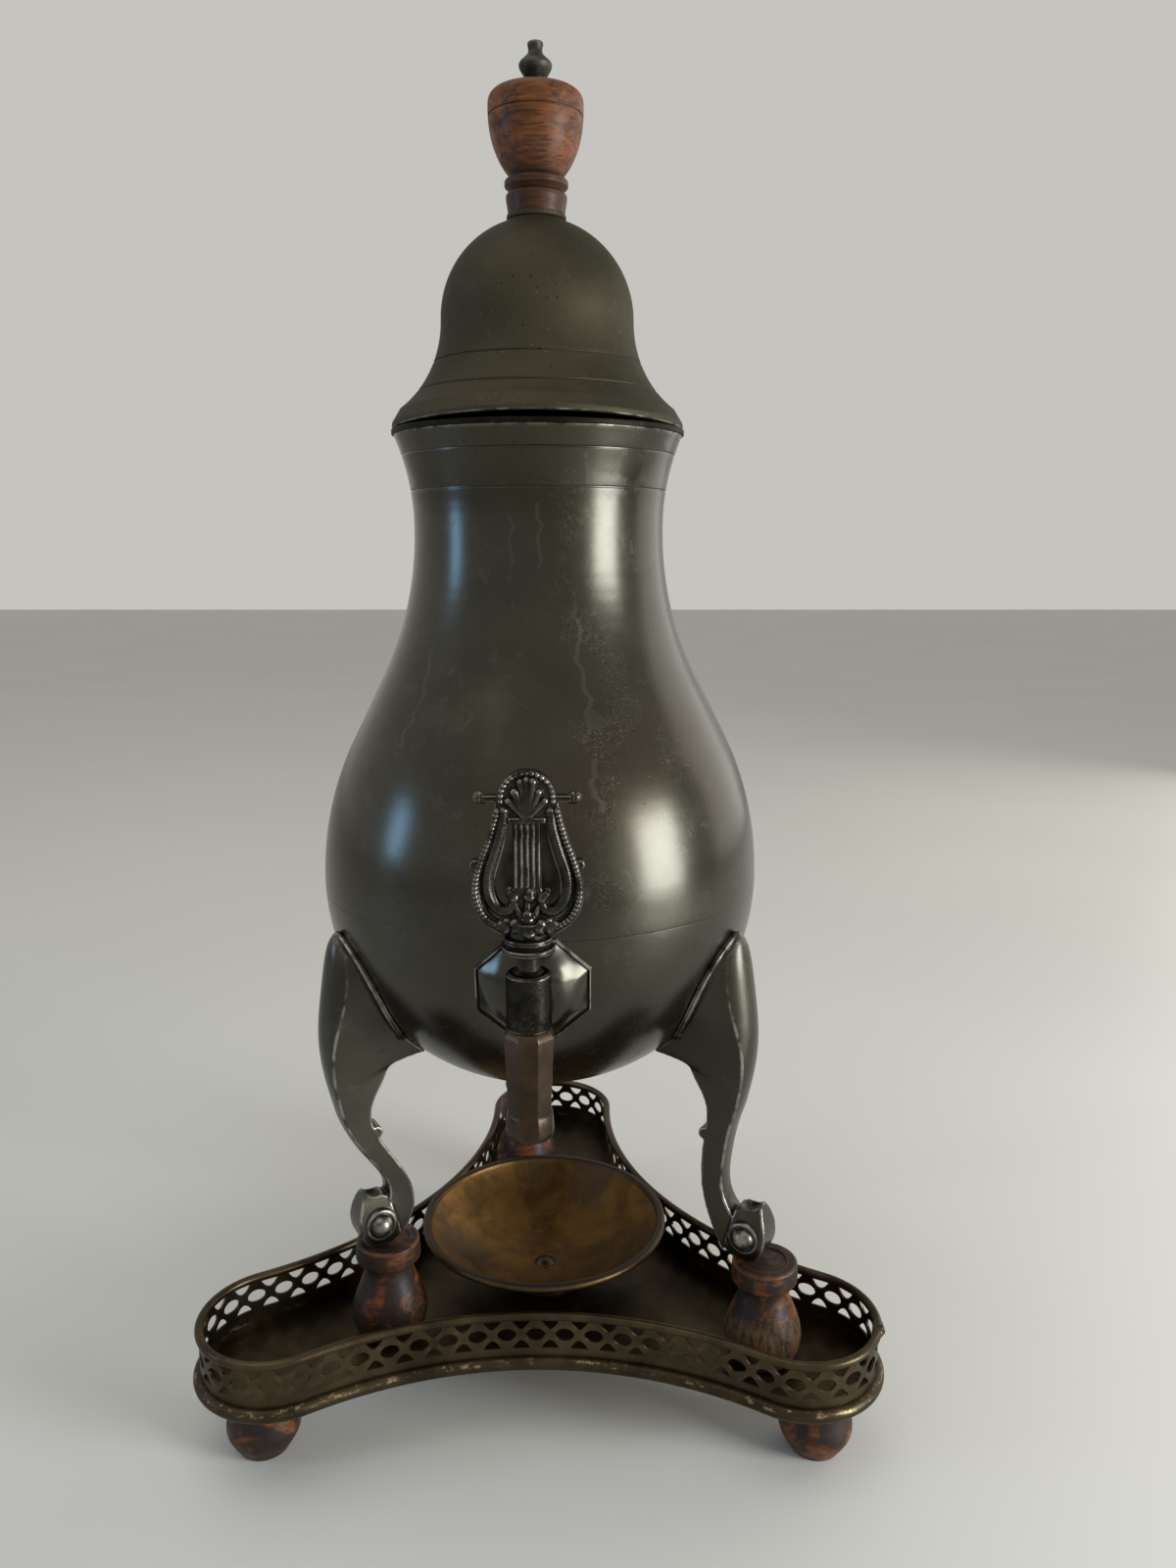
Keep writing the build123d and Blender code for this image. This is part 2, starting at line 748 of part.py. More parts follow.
def octagon(width):
    """An octagon of a width across its flats, with a flat at the top."""
    RegularPolygon(width / 2, side_count=8, major_radius=False, rotation=22.5)


shank_plane = Plane((0, -tap_distance, tap_height), x_dir=(1, 0, 0), z_dir=(0, 1, 0))
upright_from_start = (Align.CENTER, Align.CENTER, Align.MIN)

with BuildPart() as rosette:
    with BuildSketch(rosette_plane(rosette_seat - rosette_rim)):
        octagon(rosette_width)
    with BuildSketch(rosette_plane(rosette_seat + rosette_rim)):
        octagon(rosette_width)
    with BuildSketch(rosette_plane(rosette_seat + rosette_rim + rosette_rise * 0.7)):
        octagon(rosette_middle_width)
    with BuildSketch(rosette_plane(rosette_seat + rosette_rim + rosette_rise)):
        octagon(rosette_crown_width)
    loft(ruled=True)
    with Locations(ball_centre):
        Sphere(belly_radius + seat_gap, mode=Mode.SUBTRACT)
    with Locations(shank_plane):
        Cylinder(
            shank_radius + seat_gap, tap_distance, align=upright_from_start, mode=Mode.SUBTRACT
        )
rosette.part.label = "rosette"
export_step(rosette.part, "parts/rosette.step")

tap_foot = Vector(0, -tap_distance, 0)
tap_axis = Axis(tap_foot, (0, 0, 1))
shank_length = tap_stand + body_wall + shank_inside
barrel_top = tap_height + barrel_top_rise
barrel_bottom = tap_height - barrel_bottom_drop
nipple_end = barrel_bottom - nipple_length
plug_floor = nipple_end + plug_ledge
plug_end = plug_floor + plug_floor_gap

with BuildPart() as tap_barrel:
    with BuildSketch(turning_plane(tap_foot)):
        Polygon(
            (0, nipple_end),
            (nipple_radius, nipple_end),
            (nipple_radius, barrel_bottom),
            (barrel_radius, barrel_bottom),
            (barrel_radius, barrel_top - barrel_bevel),
            (barrel_radius - barrel_bevel, barrel_top),
            (0, barrel_top),
            align=None,
        )
    revolve(axis=tap_axis)
    with Locations(shank_plane):
        Cylinder(shank_radius, shank_length, align=upright_from_start)
        Cylinder(
            shank_bore_radius, shank_length, align=upright_from_start, mode=Mode.SUBTRACT
        )
    with BuildSketch(turning_plane(tap_foot)):
        Polygon(
            (0, nipple_end),
            (plug_bore_radius, nipple_end),
            (plug_bore_radius, plug_floor),
            (plug_bottom_radius + turning_gap, plug_floor),
            (plug_bottom_radius + turning_gap, plug_end),
            (plug_top_radius + turning_gap, barrel_top),
            (0, barrel_top),
            align=None,
        )
    revolve(axis=tap_axis, mode=Mode.SUBTRACT)
tap_barrel.part.label = "tap_barrel"
export_step(tap_barrel.part, "parts/tap_barrel.step")

spout_widths = (
    (0.0, spout_width),
    (0.09, spout_flare_width),
    (0.45, spout_flare_width * 0.97),
    (0.54, spout_waist_width),
    (0.9, spout_flare_width),
    (1.0, spout_waist_width),
)

with BuildPart() as spout:
    for share, width in spout_widths:
        with BuildSketch(Plane(tap_foot + Vector(0, 0, barrel_bottom - share * spout_length))):
            octagon(width)
    loft(ruled=True)
    with Locations(tap_foot + Vector(0, 0, barrel_bottom)):
        CounterBoreHole(spout_bore_radius, nipple_radius + seat_gap, nipple_length + seat_gap)
spout.part.label = "spout"
export_step(spout.part, "parts/spout.step")

# The tap key

collar_bottom = barrel_top + key_neck_length
collar_top = collar_bottom + collar_thickness

# The plug's bore opens downwards. Its side port points across the shank when the tap is closed.
with BuildPart() as tap_plug:
    with BuildSketch(turning_plane(tap_foot)):
        Polygon(
            (0, plug_end),
            (plug_bottom_radius, plug_end),
            (plug_top_radius, barrel_top),
            (key_neck_radius, barrel_top + barrel_bevel),
            (key_neck_radius, collar_bottom),
            (spigot_radius, collar_bottom),
            (spigot_radius, collar_bottom + spigot_length),
            (0, collar_bottom + spigot_length),
            align=None,
        )
    revolve(axis=tap_axis)
    with Locations(tap_foot + Vector(0, 0, plug_end)):
        Cylinder(
            plug_bore_radius,
            tap_height + plug_bore_radius - plug_end,
            align=upright_from_start,
            mode=Mode.SUBTRACT,
        )
    with Locations(Plane((0, -tap_distance, tap_height), z_dir=(1, 0, 0))):
        Cylinder(
            plug_bore_radius, barrel_radius, align=upright_from_start, mode=Mode.SUBTRACT
        )
tap_plug.part.label = "tap_plug"
export_step(tap_plug.part, "parts/tap_plug.step")

with BuildPart() as key_collar:
    with BuildSketch(turning_plane(tap_foot)):
        Polygon(
            (spigot_radius + seat_gap, collar_bottom),
            (collar_radius - 1, collar_bottom),
            (collar_radius, collar_bottom + collar_thickness * 0.15),
            (collar_radius, collar_bottom + collar_thickness * 0.4),
            (collar_radius * 0.8, collar_bottom + collar_thickness * 0.55),
            (collar_radius * 0.93, collar_bottom + collar_thickness * 0.75),
            (collar_radius * 0.9, collar_top),
            (spigot_radius + seat_gap, collar_top),
            align=None,
        )
    revolve(axis=tap_axis)
key_collar.part.label = "key_collar"
export_step(key_collar.part, "parts/key_collar.step")

lyre_plane = Plane(tap_foot, x_dir=(1, 0, 0), z_dir=(0, -1, 0))
lyre_top = collar_top + lyre_height
head_centre = lyre_top - lyre_head_radius
string_pitch = lyre_column_width / string_count



def lyre_point(reach, share):
    """A point of the lyre's right half, at a share of its height."""
    return (reach, collar_top + share * lyre_height)


with BuildPart() as lyre_handle:
    with BuildSketch(lyre_plane):
        with BuildLine():
            arm = Spline(
                lyre_point(0, 0.01),
                lyre_point(lyre_arm_reach * 0.58, 0.035),
                lyre_point(lyre_arm_reach * 0.97, 0.18),
                lyre_point(lyre_arm_reach, 0.32),
                lyre_point(lyre_arm_reach * 0.9, 0.45),
                lyre_point(lyre_arm_reach * 0.72, 0.6),
                lyre_point(lyre_arm_reach * 0.56, 0.83),
            )
            Line(arm @ 1, lyre_point(0, 0.83))
            Line(lyre_point(0, 0.83), arm @ 0)
        make_face()
        with Locations(lyre_point(lyre_arm_reach * 0.94, 0.44)):
            Circle(lyre_leaf_radius)
        with BuildLine():
            window = Spline(
                lyre_point(lyre_window_reach * 0.56, 0.7),
                lyre_point(lyre_window_reach * 0.62, 0.62),
                lyre_point(lyre_window_reach * 0.82, 0.47),
                lyre_point(lyre_window_reach, 0.31),
                lyre_point(lyre_window_reach * 0.82, 0.2),
                lyre_point(lyre_window_reach * 0.53, 0.17),
            )
            Polyline(
                window @ 1,
                lyre_point(lyre_column_width / 2, 0.3),
                lyre_point(lyre_column_width / 2, 0.7),
                window @ 0,
            )
        make_face(mode=Mode.SUBTRACT)
        mirror(about=Plane.YZ)
        with Locations((0, head_centre)):
            Circle(lyre_head_radius)
        with Locations((ball_reach / 2, head_centre), (-ball_reach / 2, head_centre)):
            Rectangle(ball_reach, ball_radius)
    extrude(amount=lyre_thickness / 2, both=True)
    lyre_faces = (lyre_plane.offset(lyre_thickness / 2), lyre_plane.offset(-lyre_thickness / 2))
    string_top = collar_top + 0.69 * lyre_height
    string_low = collar_top + 0.3 * lyre_height
    with BuildSketch(*lyre_faces):
        with Locations((0, (string_top + string_low) / 2)):
            with GridLocations(string_pitch, 1, string_count + 1, 1):
                Rectangle(string_gap, string_top - string_low)
    extrude(amount=string_gap / 2, both=True, mode=Mode.SUBTRACT)
    with BuildSketch(*lyre_faces):
        with BuildLine():
            channel = Spline(
                lyre_point(lyre_arm_reach * 0.35, 0.09),
                lyre_point(lyre_arm_reach * 0.74, 0.17),
                lyre_point(lyre_arm_reach * 0.82, 0.32),
                lyre_point(lyre_arm_reach * 0.6, 0.56),
                lyre_point(lyre_arm_reach * 0.47, 0.78),
            )
            mirror(channel, about=Plane.YZ)
        trace(line_width=lyre_channel_width)
    extrude(amount=lyre_channel_depth, both=True, mode=Mode.SUBTRACT)
    with BuildSketch(lyre_plane):
        with Locations((0, string_top + lyre_capital_height / 2)):
            Rectangle(1.3 * lyre_column_width, lyre_capital_height)
    extrude(amount=lyre_thickness / 2 + lyre_capital_depth, both=True)
    flower_place = Location((0, collar_top + 0.11 * lyre_height, 0))
    with Locations(*[face.location * flower_place for face in lyre_faces]):
        Sphere(lyre_flower_radius)
    ball_place = tap_foot + Vector(0, 0, head_centre)
    with Locations(ball_place + Vector(ball_reach, 0, 0), ball_place - Vector(ball_reach, 0, 0)):
        Sphere(ball_radius)
    with Locations(tap_foot + Vector(0, 0, collar_top)):
        Cylinder(lyre_base_radius, lyre_base_height, align=upright_from_start)
        Cylinder(
            spigot_radius + seat_gap,
            collar_bottom + spigot_length + seat_gap - collar_top,
            align=upright_from_start,
            mode=Mode.SUBTRACT,
        )
lyre_handle.part.label = "lyre_handle"
export_step(lyre_handle.part, "parts/lyre_handle.step")

# The lid

bezel_top = mouth_height + bezel_thickness
bezel_edge = mouth_radius(mouth_height) + bezel_overhang
bezel_radius = mouth_radius(mouth_height - bezel_depth, body_wall) - lid_play

with BuildPart() as lid_bezel:
    with BuildSketch(Plane.XZ):
        Polygon(
            (bezel_radius - bezel_wall, mouth_height - bezel_depth),
            (bezel_radius, mouth_height - bezel_depth),
            (bezel_radius, mouth_height),
            (bezel_edge, mouth_height),
            (bezel_edge, bezel_top),
            (bezel_radius - bezel_wall, bezel_top),
            align=None,
        )
    revolve(axis=Axis.Z)
lid_bezel.part.label = "lid_bezel"
export_step(lid_bezel.part, "parts/lid_bezel.step")

dome_height = mouth_height + dome_rise
skirt_centre = dome_radius + skirt_curve
skirt_cosine = (skirt_centre - bezel_edge + skirt_end_inset) / skirt_curve
skirt_turn = degrees(asin(sqrt(1 - skirt_cosine**2)))
boss_foot_radius = lid_boss_radius + 1
boss_foot_rise = sqrt(dome_radius**2 - boss_foot_radius**2)
boss_climb = degrees(asin(boss_foot_rise / dome_radius))
lid_boss_top = dome_height + boss_foot_rise + lid_boss_height


def skirt_radius(height):
    """The outer radius of the lid's skirt at a height."""
    return skirt_centre - sqrt(skirt_curve**2 - (dome_height - height) ** 2)


with BuildPart() as lid_dome:
    with BuildSketch(Plane.XZ):
        with BuildLine():
            dome = CenterArc((0, dome_height), dome_radius, 0, boss_climb)
            hollow = CenterArc((0, dome_height), dome_radius - lid_wall, 0, 90)
            skirt = CenterArc((skirt_centre, dome_height), skirt_curve, 180, skirt_turn)
            inner_skirt = CenterArc(
                (skirt_centre, dome_height), skirt_curve + lid_wall, 180, skirt_turn
            )
            Polyline(
                skirt @ 1,
                (bezel_edge - skirt_edge_inset, bezel_top + skirt_edge_height),
                (bezel_edge - skirt_edge_inset, bezel_top),
                ((inner_skirt @ 1).X, bezel_top),
                inner_skirt @ 1,
            )
            Polyline(
                dome @ 1,
                (lid_boss_radius, lid_boss_top - lid_boss_height + 1),
                (lid_boss_radius, lid_boss_top),
                (0, lid_boss_top),
                hollow @ 1,
            )
        make_face()
        for drop in skirt_line_drops:
            height = dome_height - drop
            with Locations((skirt_radius(height), height)):
                Rectangle(2 * line_depth, line_width, mode=Mode.SUBTRACT)
    revolve(axis=Axis.Z)
    with Locations((0, 0, lid_boss_top)):
        Hole(rod_radius + seat_gap, depth=lid_boss_top - dome_height)
lid_dome.part.label = "lid_dome"
export_step(lid_dome.part, "parts/lid_dome.step")

knob_top = lid_boss_top + knob_height


def knob_point(radius, share):
    """The point of the knob's profile at a share of its height."""
    return (radius, lid_boss_top + share * knob_height)


with BuildPart() as lid_knob:
    with BuildSketch(Plane.XZ):
        with BuildLine():
            foot = Polyline(
                (0, knob_top),
                (0, lid_boss_top),
                (knob_foot_radius, lid_boss_top),
                knob_point(knob_band_radius, 0.12),
                knob_point(knob_band_radius, 0.15),
                knob_point(knob_waist_radius, 0.18),
                knob_point(knob_ring_radius, 0.22),
                knob_point(knob_ring_radius, 0.26),
                knob_point(knob_waist_radius, 0.3),
            )
            cup = Spline(
                foot @ 1,
                knob_point(knob_cup_radius * 0.85, 0.48),
                knob_point(knob_cup_radius * 0.97, 0.65),
                knob_point(knob_cup_radius, 0.8),
            )
            shoulder = Line(cup @ 1, knob_point(knob_cup_radius * 0.96, 0.84))
            ThreePointArc(
                shoulder @ 1,
                knob_point(knob_cup_radius * 0.6, 0.947),
                (finial_stem_radius, knob_top),
            )
            Line((finial_stem_radius, knob_top), (0, knob_top))
        make_face()
        with Locations((knob_cup_radius, knob_top - knob_line_drop)):
            Rectangle(2 * knob_line_depth, knob_line_width, mode=Mode.SUBTRACT)
    revolve(axis=Axis.Z)
    with Locations((0, 0, knob_top)):
        Hole(rod_radius + seat_gap, depth=knob_height)
lid_knob.part.label = "lid_knob"
export_step(lid_knob.part, "parts/lid_knob.step")

nut_top = dome_height + sqrt((dome_radius - lid_wall) ** 2 - (nut_width * 0.6) ** 2) - seat_gap
rod_end = nut_top - 2 * nut_thickness

with BuildPart() as finial:
    with BuildSketch(Plane.XZ):
        with BuildLine():
            Spline(
                (finial_stem_radius, knob_top + 2),
                (finial_bulb_radius, knob_top + finial_height * 0.5),
                (finial_neck_radius, knob_top + finial_height * 0.77),
                (finial_neck_radius + 0.3, knob_top + finial_height - 1.2),
                (0, knob_top + finial_height),
                tangents=((0.6, 1), (-1, 0)),
            )
            Polyline(
                (0, knob_top + finial_height),
                (0, rod_end),
                (rod_radius, rod_end),
                (rod_radius, knob_top),
                (finial_stem_radius, knob_top),
                (finial_stem_radius, knob_top + 2),
            )
        make_face()
    revolve(axis=Axis.Z)
finial.part.label = "finial"
export_step(finial.part, "parts/finial.step")

with BuildPart() as finial_nut:
    with BuildSketch(Plane.XY.offset(nut_top - nut_thickness)):
        RegularPolygon(nut_width / 2, side_count=6, major_radius=False)
        Circle(rod_radius + seat_gap, mode=Mode.SUBTRACT)
    extrude(amount=nut_thickness)
finial_nut.part.label = "finial_nut"
export_step(finial_nut.part, "parts/finial_nut.step")
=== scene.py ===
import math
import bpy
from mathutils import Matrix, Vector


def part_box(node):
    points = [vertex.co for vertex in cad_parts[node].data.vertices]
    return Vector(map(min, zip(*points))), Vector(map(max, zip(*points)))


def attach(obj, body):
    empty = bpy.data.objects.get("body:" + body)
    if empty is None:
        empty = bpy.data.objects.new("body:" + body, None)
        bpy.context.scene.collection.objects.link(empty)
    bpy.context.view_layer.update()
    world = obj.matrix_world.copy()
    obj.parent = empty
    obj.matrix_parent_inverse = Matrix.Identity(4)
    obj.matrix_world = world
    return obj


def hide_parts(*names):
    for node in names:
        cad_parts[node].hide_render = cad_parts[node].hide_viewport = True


bl_info = {
    "name": "Tap Urn on a Gallery Tray",
    "version": (1, 0, 0),
    "blender": (4, 5, 0),
    "location": "View3D > Sidebar > Urn",
    "description": "Dresses the pewter tap urn, its wooden feet and its pierced brass tray",
    "category": "Object",
}

import bmesh
import bpy
import numpy as np
from bpy.props import FloatProperty, FloatVectorProperty, IntProperty, PointerProperty
from mathutils import Vector, noise

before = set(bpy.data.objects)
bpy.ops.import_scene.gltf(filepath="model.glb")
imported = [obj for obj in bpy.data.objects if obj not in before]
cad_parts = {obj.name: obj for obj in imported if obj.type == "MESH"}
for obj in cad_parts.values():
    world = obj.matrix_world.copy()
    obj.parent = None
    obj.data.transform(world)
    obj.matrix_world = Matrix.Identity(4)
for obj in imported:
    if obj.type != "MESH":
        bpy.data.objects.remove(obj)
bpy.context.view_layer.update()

mm = 0.001
URN_AXIS = Vector((0, 0, 0))
LOBE_AZIMUTHS = {"back": 90.0, "left": 210.0, "right": 330.0}

# Points nearer to each other than these are one point, in metres
NEW_WELD = 1e-7
CAD_WELD = 2e-6
PROFILE_WELD = 2e-5

# Runs down the urn, as old drink leaves them: angle, half width, bottom and top
URN_DRIPS = (
    (0.29, 0.020, 242 * mm, 314 * mm),
    (-0.17, 0.016, 318 * mm, 346 * mm),
    (0.04, 0.018, 322 * mm, 352 * mm),
    (-0.72, 0.018, 262 * mm, 300 * mm),
    (0.82, 0.016, 158 * mm, 186 * mm),
    (2.6, 0.024, 230 * mm, 300 * mm),
)

# Directions in which the scratches lie, as turns about the three axes
PEWTER_LINES = ((0.3, 0.2, 0.5), (1.2, 0.4, 2.1), (0.2, 1.1, 1.3))
CAST_LINES = ((0.4, 0.1, 0.2), (0.9, 0.7, 1.9), (0.05, 0.0, 1.5))
BRASS_LINES = ((0.1, 0.2, 0.3), (0.2, 0.1, 1.8))

# Tints of stains, grime, painted shade in hollows and wear
PEWTER_STAIN = (0.043, 0.033, 0.018)
PEWTER_GRIME_AND_SHADE = (0.006, 0.005, 0.004)
CAST_DARK = (0.014, 0.012, 0.009)
CAST_PALE = (0.044, 0.039, 0.029)
CAST_GRIME_AND_SHADE = (0.008, 0.007, 0.006)
BRASS_BLOOM = (0.075, 0.045, 0.028)
BRASS_GRIME_AND_SHADE = (0.012, 0.008, 0.004)
DISH_CLOUD = (0.070, 0.048, 0.034)
DISH_BLOTCH = (0.050, 0.028, 0.010)
DISH_LIP = (0.035, 0.028, 0.02)
DISH_UNDERSIDE_SHADE = (0.030, 0.022, 0.013)
WOOD_GLOW = (0.25, 0.082, 0.014)
WOOD_TAN = (0.15, 0.088, 0.042)
WOOD_WORN = (0.19, 0.078, 0.026)
WOOD_GRIME_AND_SHADE = (0.006, 0.004, 0.003)

# Lamps: name, place, target, width, height, power and tint
LAMPS = (
    ("window_right", (1.10, -0.55, 0.34), (0, 0, 0.25), 0.46, 0.54, 15.5, (0.90, 0.95, 1.0)),
    ("window_left", (-1.17, -0.27, 0.42), (0, 0, 0.25), 0.18, 0.32, 2.1, (0.28, 0.56, 1.0)),
    ("side_panel", (1.15, 0.75, 0.55), (0, 0, 0.25), 1.1, 1.0, 4.5, (1.0, 0.98, 0.93)),
    ("ceiling", (-0.5, -0.2, 1.9), (-0.1, 0, 0.2), 1.8, 1.8, 8.5, (1.0, 0.985, 0.95)),
)
SKY_LIGHT = (0.31, 0.305, 0.285, 1)
SKY_SEEN = (0.56, 0.55, 0.52, 1)
FLOOR_HALF = 6.0
CAMERA_PLACE = (0.0181, -0.4485, 0.3302)
CAMERA_DROP = 11.28
CAMERA_LENS = 27.27
SENSOR_WIDTH = 36.0

# Spout: drop below its top and half width, both in mm, and roundness
SPOUT_ROWS = (
    (0.0, 5.9, 0.2), (0.5, 6.6, 0.1), (2.4, 7.55, 0.0), (3.0, 7.6, 0.0), (14.0, 7.1, 0.0), (26.0, 6.6, 0.0),
    (27.4, 6.45, 0.3), (27.9, 6.75, 0.5), (28.4, 7.0, 0.5), (31.0, 7.25, 0.4), (33.6, 7.3, 0.5),
    (35.0, 7.0, 0.8), (36.0, 6.1, 1.0), (36.5, 4.6, 1.0), (36.6, 3.3, 1.0), (36.4, 2.9, 1.0),
    (12.0, 2.9, 1.0),
)

# Lyre: distance from its middle in mm and share of its height; the curls add depth and radius in mm
LYRE_DEPTH = 2.1 * mm
LYRE_ARM = ((7.5, 0.055), (12.6, 0.12), (15.3, 0.22), (15.6, 0.32), (14.0, 0.45), (11.2, 0.6), (8.9, 0.76))
LYRE_INNER = (
    (6.9, 0.76), (7.6, 0.66), (9.6, 0.52), (11.6, 0.40), (12.1, 0.31), (11.0, 0.22), (8.2, 0.165),
    (5.2, 0.17), (4.2, 0.215),
)
LYRE_CURLS = (
    (0, 0.125, 3.0, 2.3), (-2.9, 0.075, 3.4, 2.3), (3.1, 0.07, 3.4, 2.4), (0.4, 0.045, 4.2, 2.4),
    (-4.1, 0.245, 1.6, 1.8), (4.3, 0.24, 1.6, 1.8), (0.6, 0.255, 2.0, 2.0), (-6.2, 0.06, 1.8, 2.0),
    (6.3, 0.06, 1.8, 2.0),
)


# Sizes and colours


def size(name, description, default):
    """A length property whose default is given in millimetres."""
    return FloatProperty(
        name=name, description=description, default=default * mm, unit="LENGTH", subtype="DISTANCE"
    )


def colour(name, description, default):
    """A linear colour property."""
    return FloatVectorProperty(
        name=name, description=description, default=default, size=3, subtype="COLOR", min=0, max=1
    )


class UrnTraySizes(bpy.types.PropertyGroup):
    """Sizes of the tray's outline and of its pierced gallery."""

    lobe_distance: size("Lobe distance", "From the axis to the middle of a lobe", 112)
    lobe_radius: size("Lobe radius", "Radius of a lobe's rounded end", 28)
    side_reach: size("Side reach", "From the axis to the middle of a hollow side", 56)
    strip_thickness: size("Strip thickness", "Thickness of the pierced strip", 0.8)
    pattern_drop: size("Pattern drop", "From the strip's top to the middle of the ovals", 7.2)
    oval_width: size("Oval width", "Width of an oval hole", 7.0)
    oval_height: size("Oval height", "Height of an oval hole", 5.0)
    corner_top: size("Corner hole top", "From the ovals' middle to a corner hole's long side", 5.6)
    corner_low: size("Corner hole point", "From the ovals' middle to a corner hole's point", 2.2)
    corner_width: size("Corner hole width", "Length of a corner hole's long side", 6.6)
    repeats: IntProperty(name="Repeats", description="Ovals round the tray", default=73, min=3)


class UrnTapSizes(bpy.types.PropertyGroup):
    """Sizes of the boss and of the tap's place."""

    belly_radius: size("Belly radius", "Radius of the ball-shaped lower body", 82.3)
    belly_height: size("Belly height", "Height of the middle of the belly", 208.0)
    tap_reach: size("Tap reach", "From the urn's axis to the tap's", 105.0)
    rosette_drop: size("Boss drop", "From the middle of the belly down to the boss", 21.0)
    rosette_width: size("Boss width", "Width of the eight-sided boss across its flats", 38.5)
    rosette_rim: size("Boss rim", "Height of the boss's rim", 1.8)
    rosette_rise: size("Boss rise", "Height of the swelling inside the rim", 8.0)


class UrnColours(bpy.types.PropertyGroup):
    """Colours of the finishes."""

    pewter: colour("Pewter", "Dark olive grey of the old pewter", (0.039, 0.0345, 0.0215))
    pewter_worn: colour("Worn pewter", "Bright metal on rims and arrises", (0.30, 0.28, 0.23))
    brass: colour("Brass patina", "Brown patina of the tray", (0.058, 0.041, 0.021))
    brass_worn: colour("Worn brass", "Yellow metal along worn edges", (0.27, 0.20, 0.105))
    dish: colour("Dish", "Golden brown of the dish", (0.128, 0.065, 0.016))
    bronze: colour("Spout", "Reddish brown of the spout", (0.054, 0.035, 0.022))
    wood: colour("Wood", "Reddish brown of the turned wood", (0.118, 0.036, 0.009))
    wood_dark: colour("Dark wood", "Blackened wood in recesses", (0.013, 0.008, 0.006))
    floor: colour("Floor", "Pale floor", (0.76, 0.745, 0.69))


# Node trees


class Nodes:
    """Short calls that add nodes to one tree."""

    def __init__(self, tree):
        self.tree = tree

    def put(self, kind, inputs=None, output=0, **settings):
        """Adds a node, sets it up, and returns one of its outputs."""
        node = self.tree.nodes.new(kind)
        for key, value in settings.items():
            setattr(node, key, value)
        for key, value in (inputs or {}).items():
            if isinstance(value, bpy.types.NodeSocket):
                self.tree.links.new(value, node.inputs[key])
            else:
                node.inputs[key].default_value = value
        return node.outputs[output]

    def calc(self, operation, first, second=0.0, clamp=False):
        """A Math node."""
        return self.put("ShaderNodeMath", {0: first, 1: second}, operation=operation, use_clamp=clamp)

    def times(self, first, second):
        return self.calc("MULTIPLY", first, second)

    def plus(self, first, second):
        return self.calc("ADD", first, second)

    def minus(self, first, second):
        return self.calc("SUBTRACT", first, second)

    def vector(self, x, y, z):
        return self.put("ShaderNodeCombineXYZ", {0: x, 1: y, 2: z})

    def parts(self, place):
        """The three numbers of a vector."""
        node = self.tree.nodes.new("ShaderNodeSeparateXYZ")
        self.tree.links.new(place, node.inputs[0])
        return tuple(node.outputs)

    def spread(self, value, low, high, out_low=0.0, out_high=1.0):
        """Maps low..high smoothly to out_low..out_high."""
        inputs = {0: value, 1: low, 2: high, 3: out_low, 4: out_high}
        return self.put("ShaderNodeMapRange", inputs, interpolation_type="SMOOTHSTEP")

    def mixed(self, factor, first, second):
        """A colour Mix node."""
        inputs = {0: factor, 6: first, 7: second}
        return self.put("ShaderNodeMix", inputs, output=2, data_type="RGBA", clamp_factor=True)

    def joined(self, *shapes):
        """Shapes as one, in this order."""
        node = self.tree.nodes.new("GeometryNodeJoinGeometry")
        for shape in reversed(shapes):
            self.tree.links.new(shape, node.inputs[0])
        return node.outputs[0]


def shade(rgb, gain=1.0):
    """A colour with its alpha, made lighter or darker."""
    return (rgb[0] * gain, rgb[1] * gain, rgb[2] * gain, 1.0)


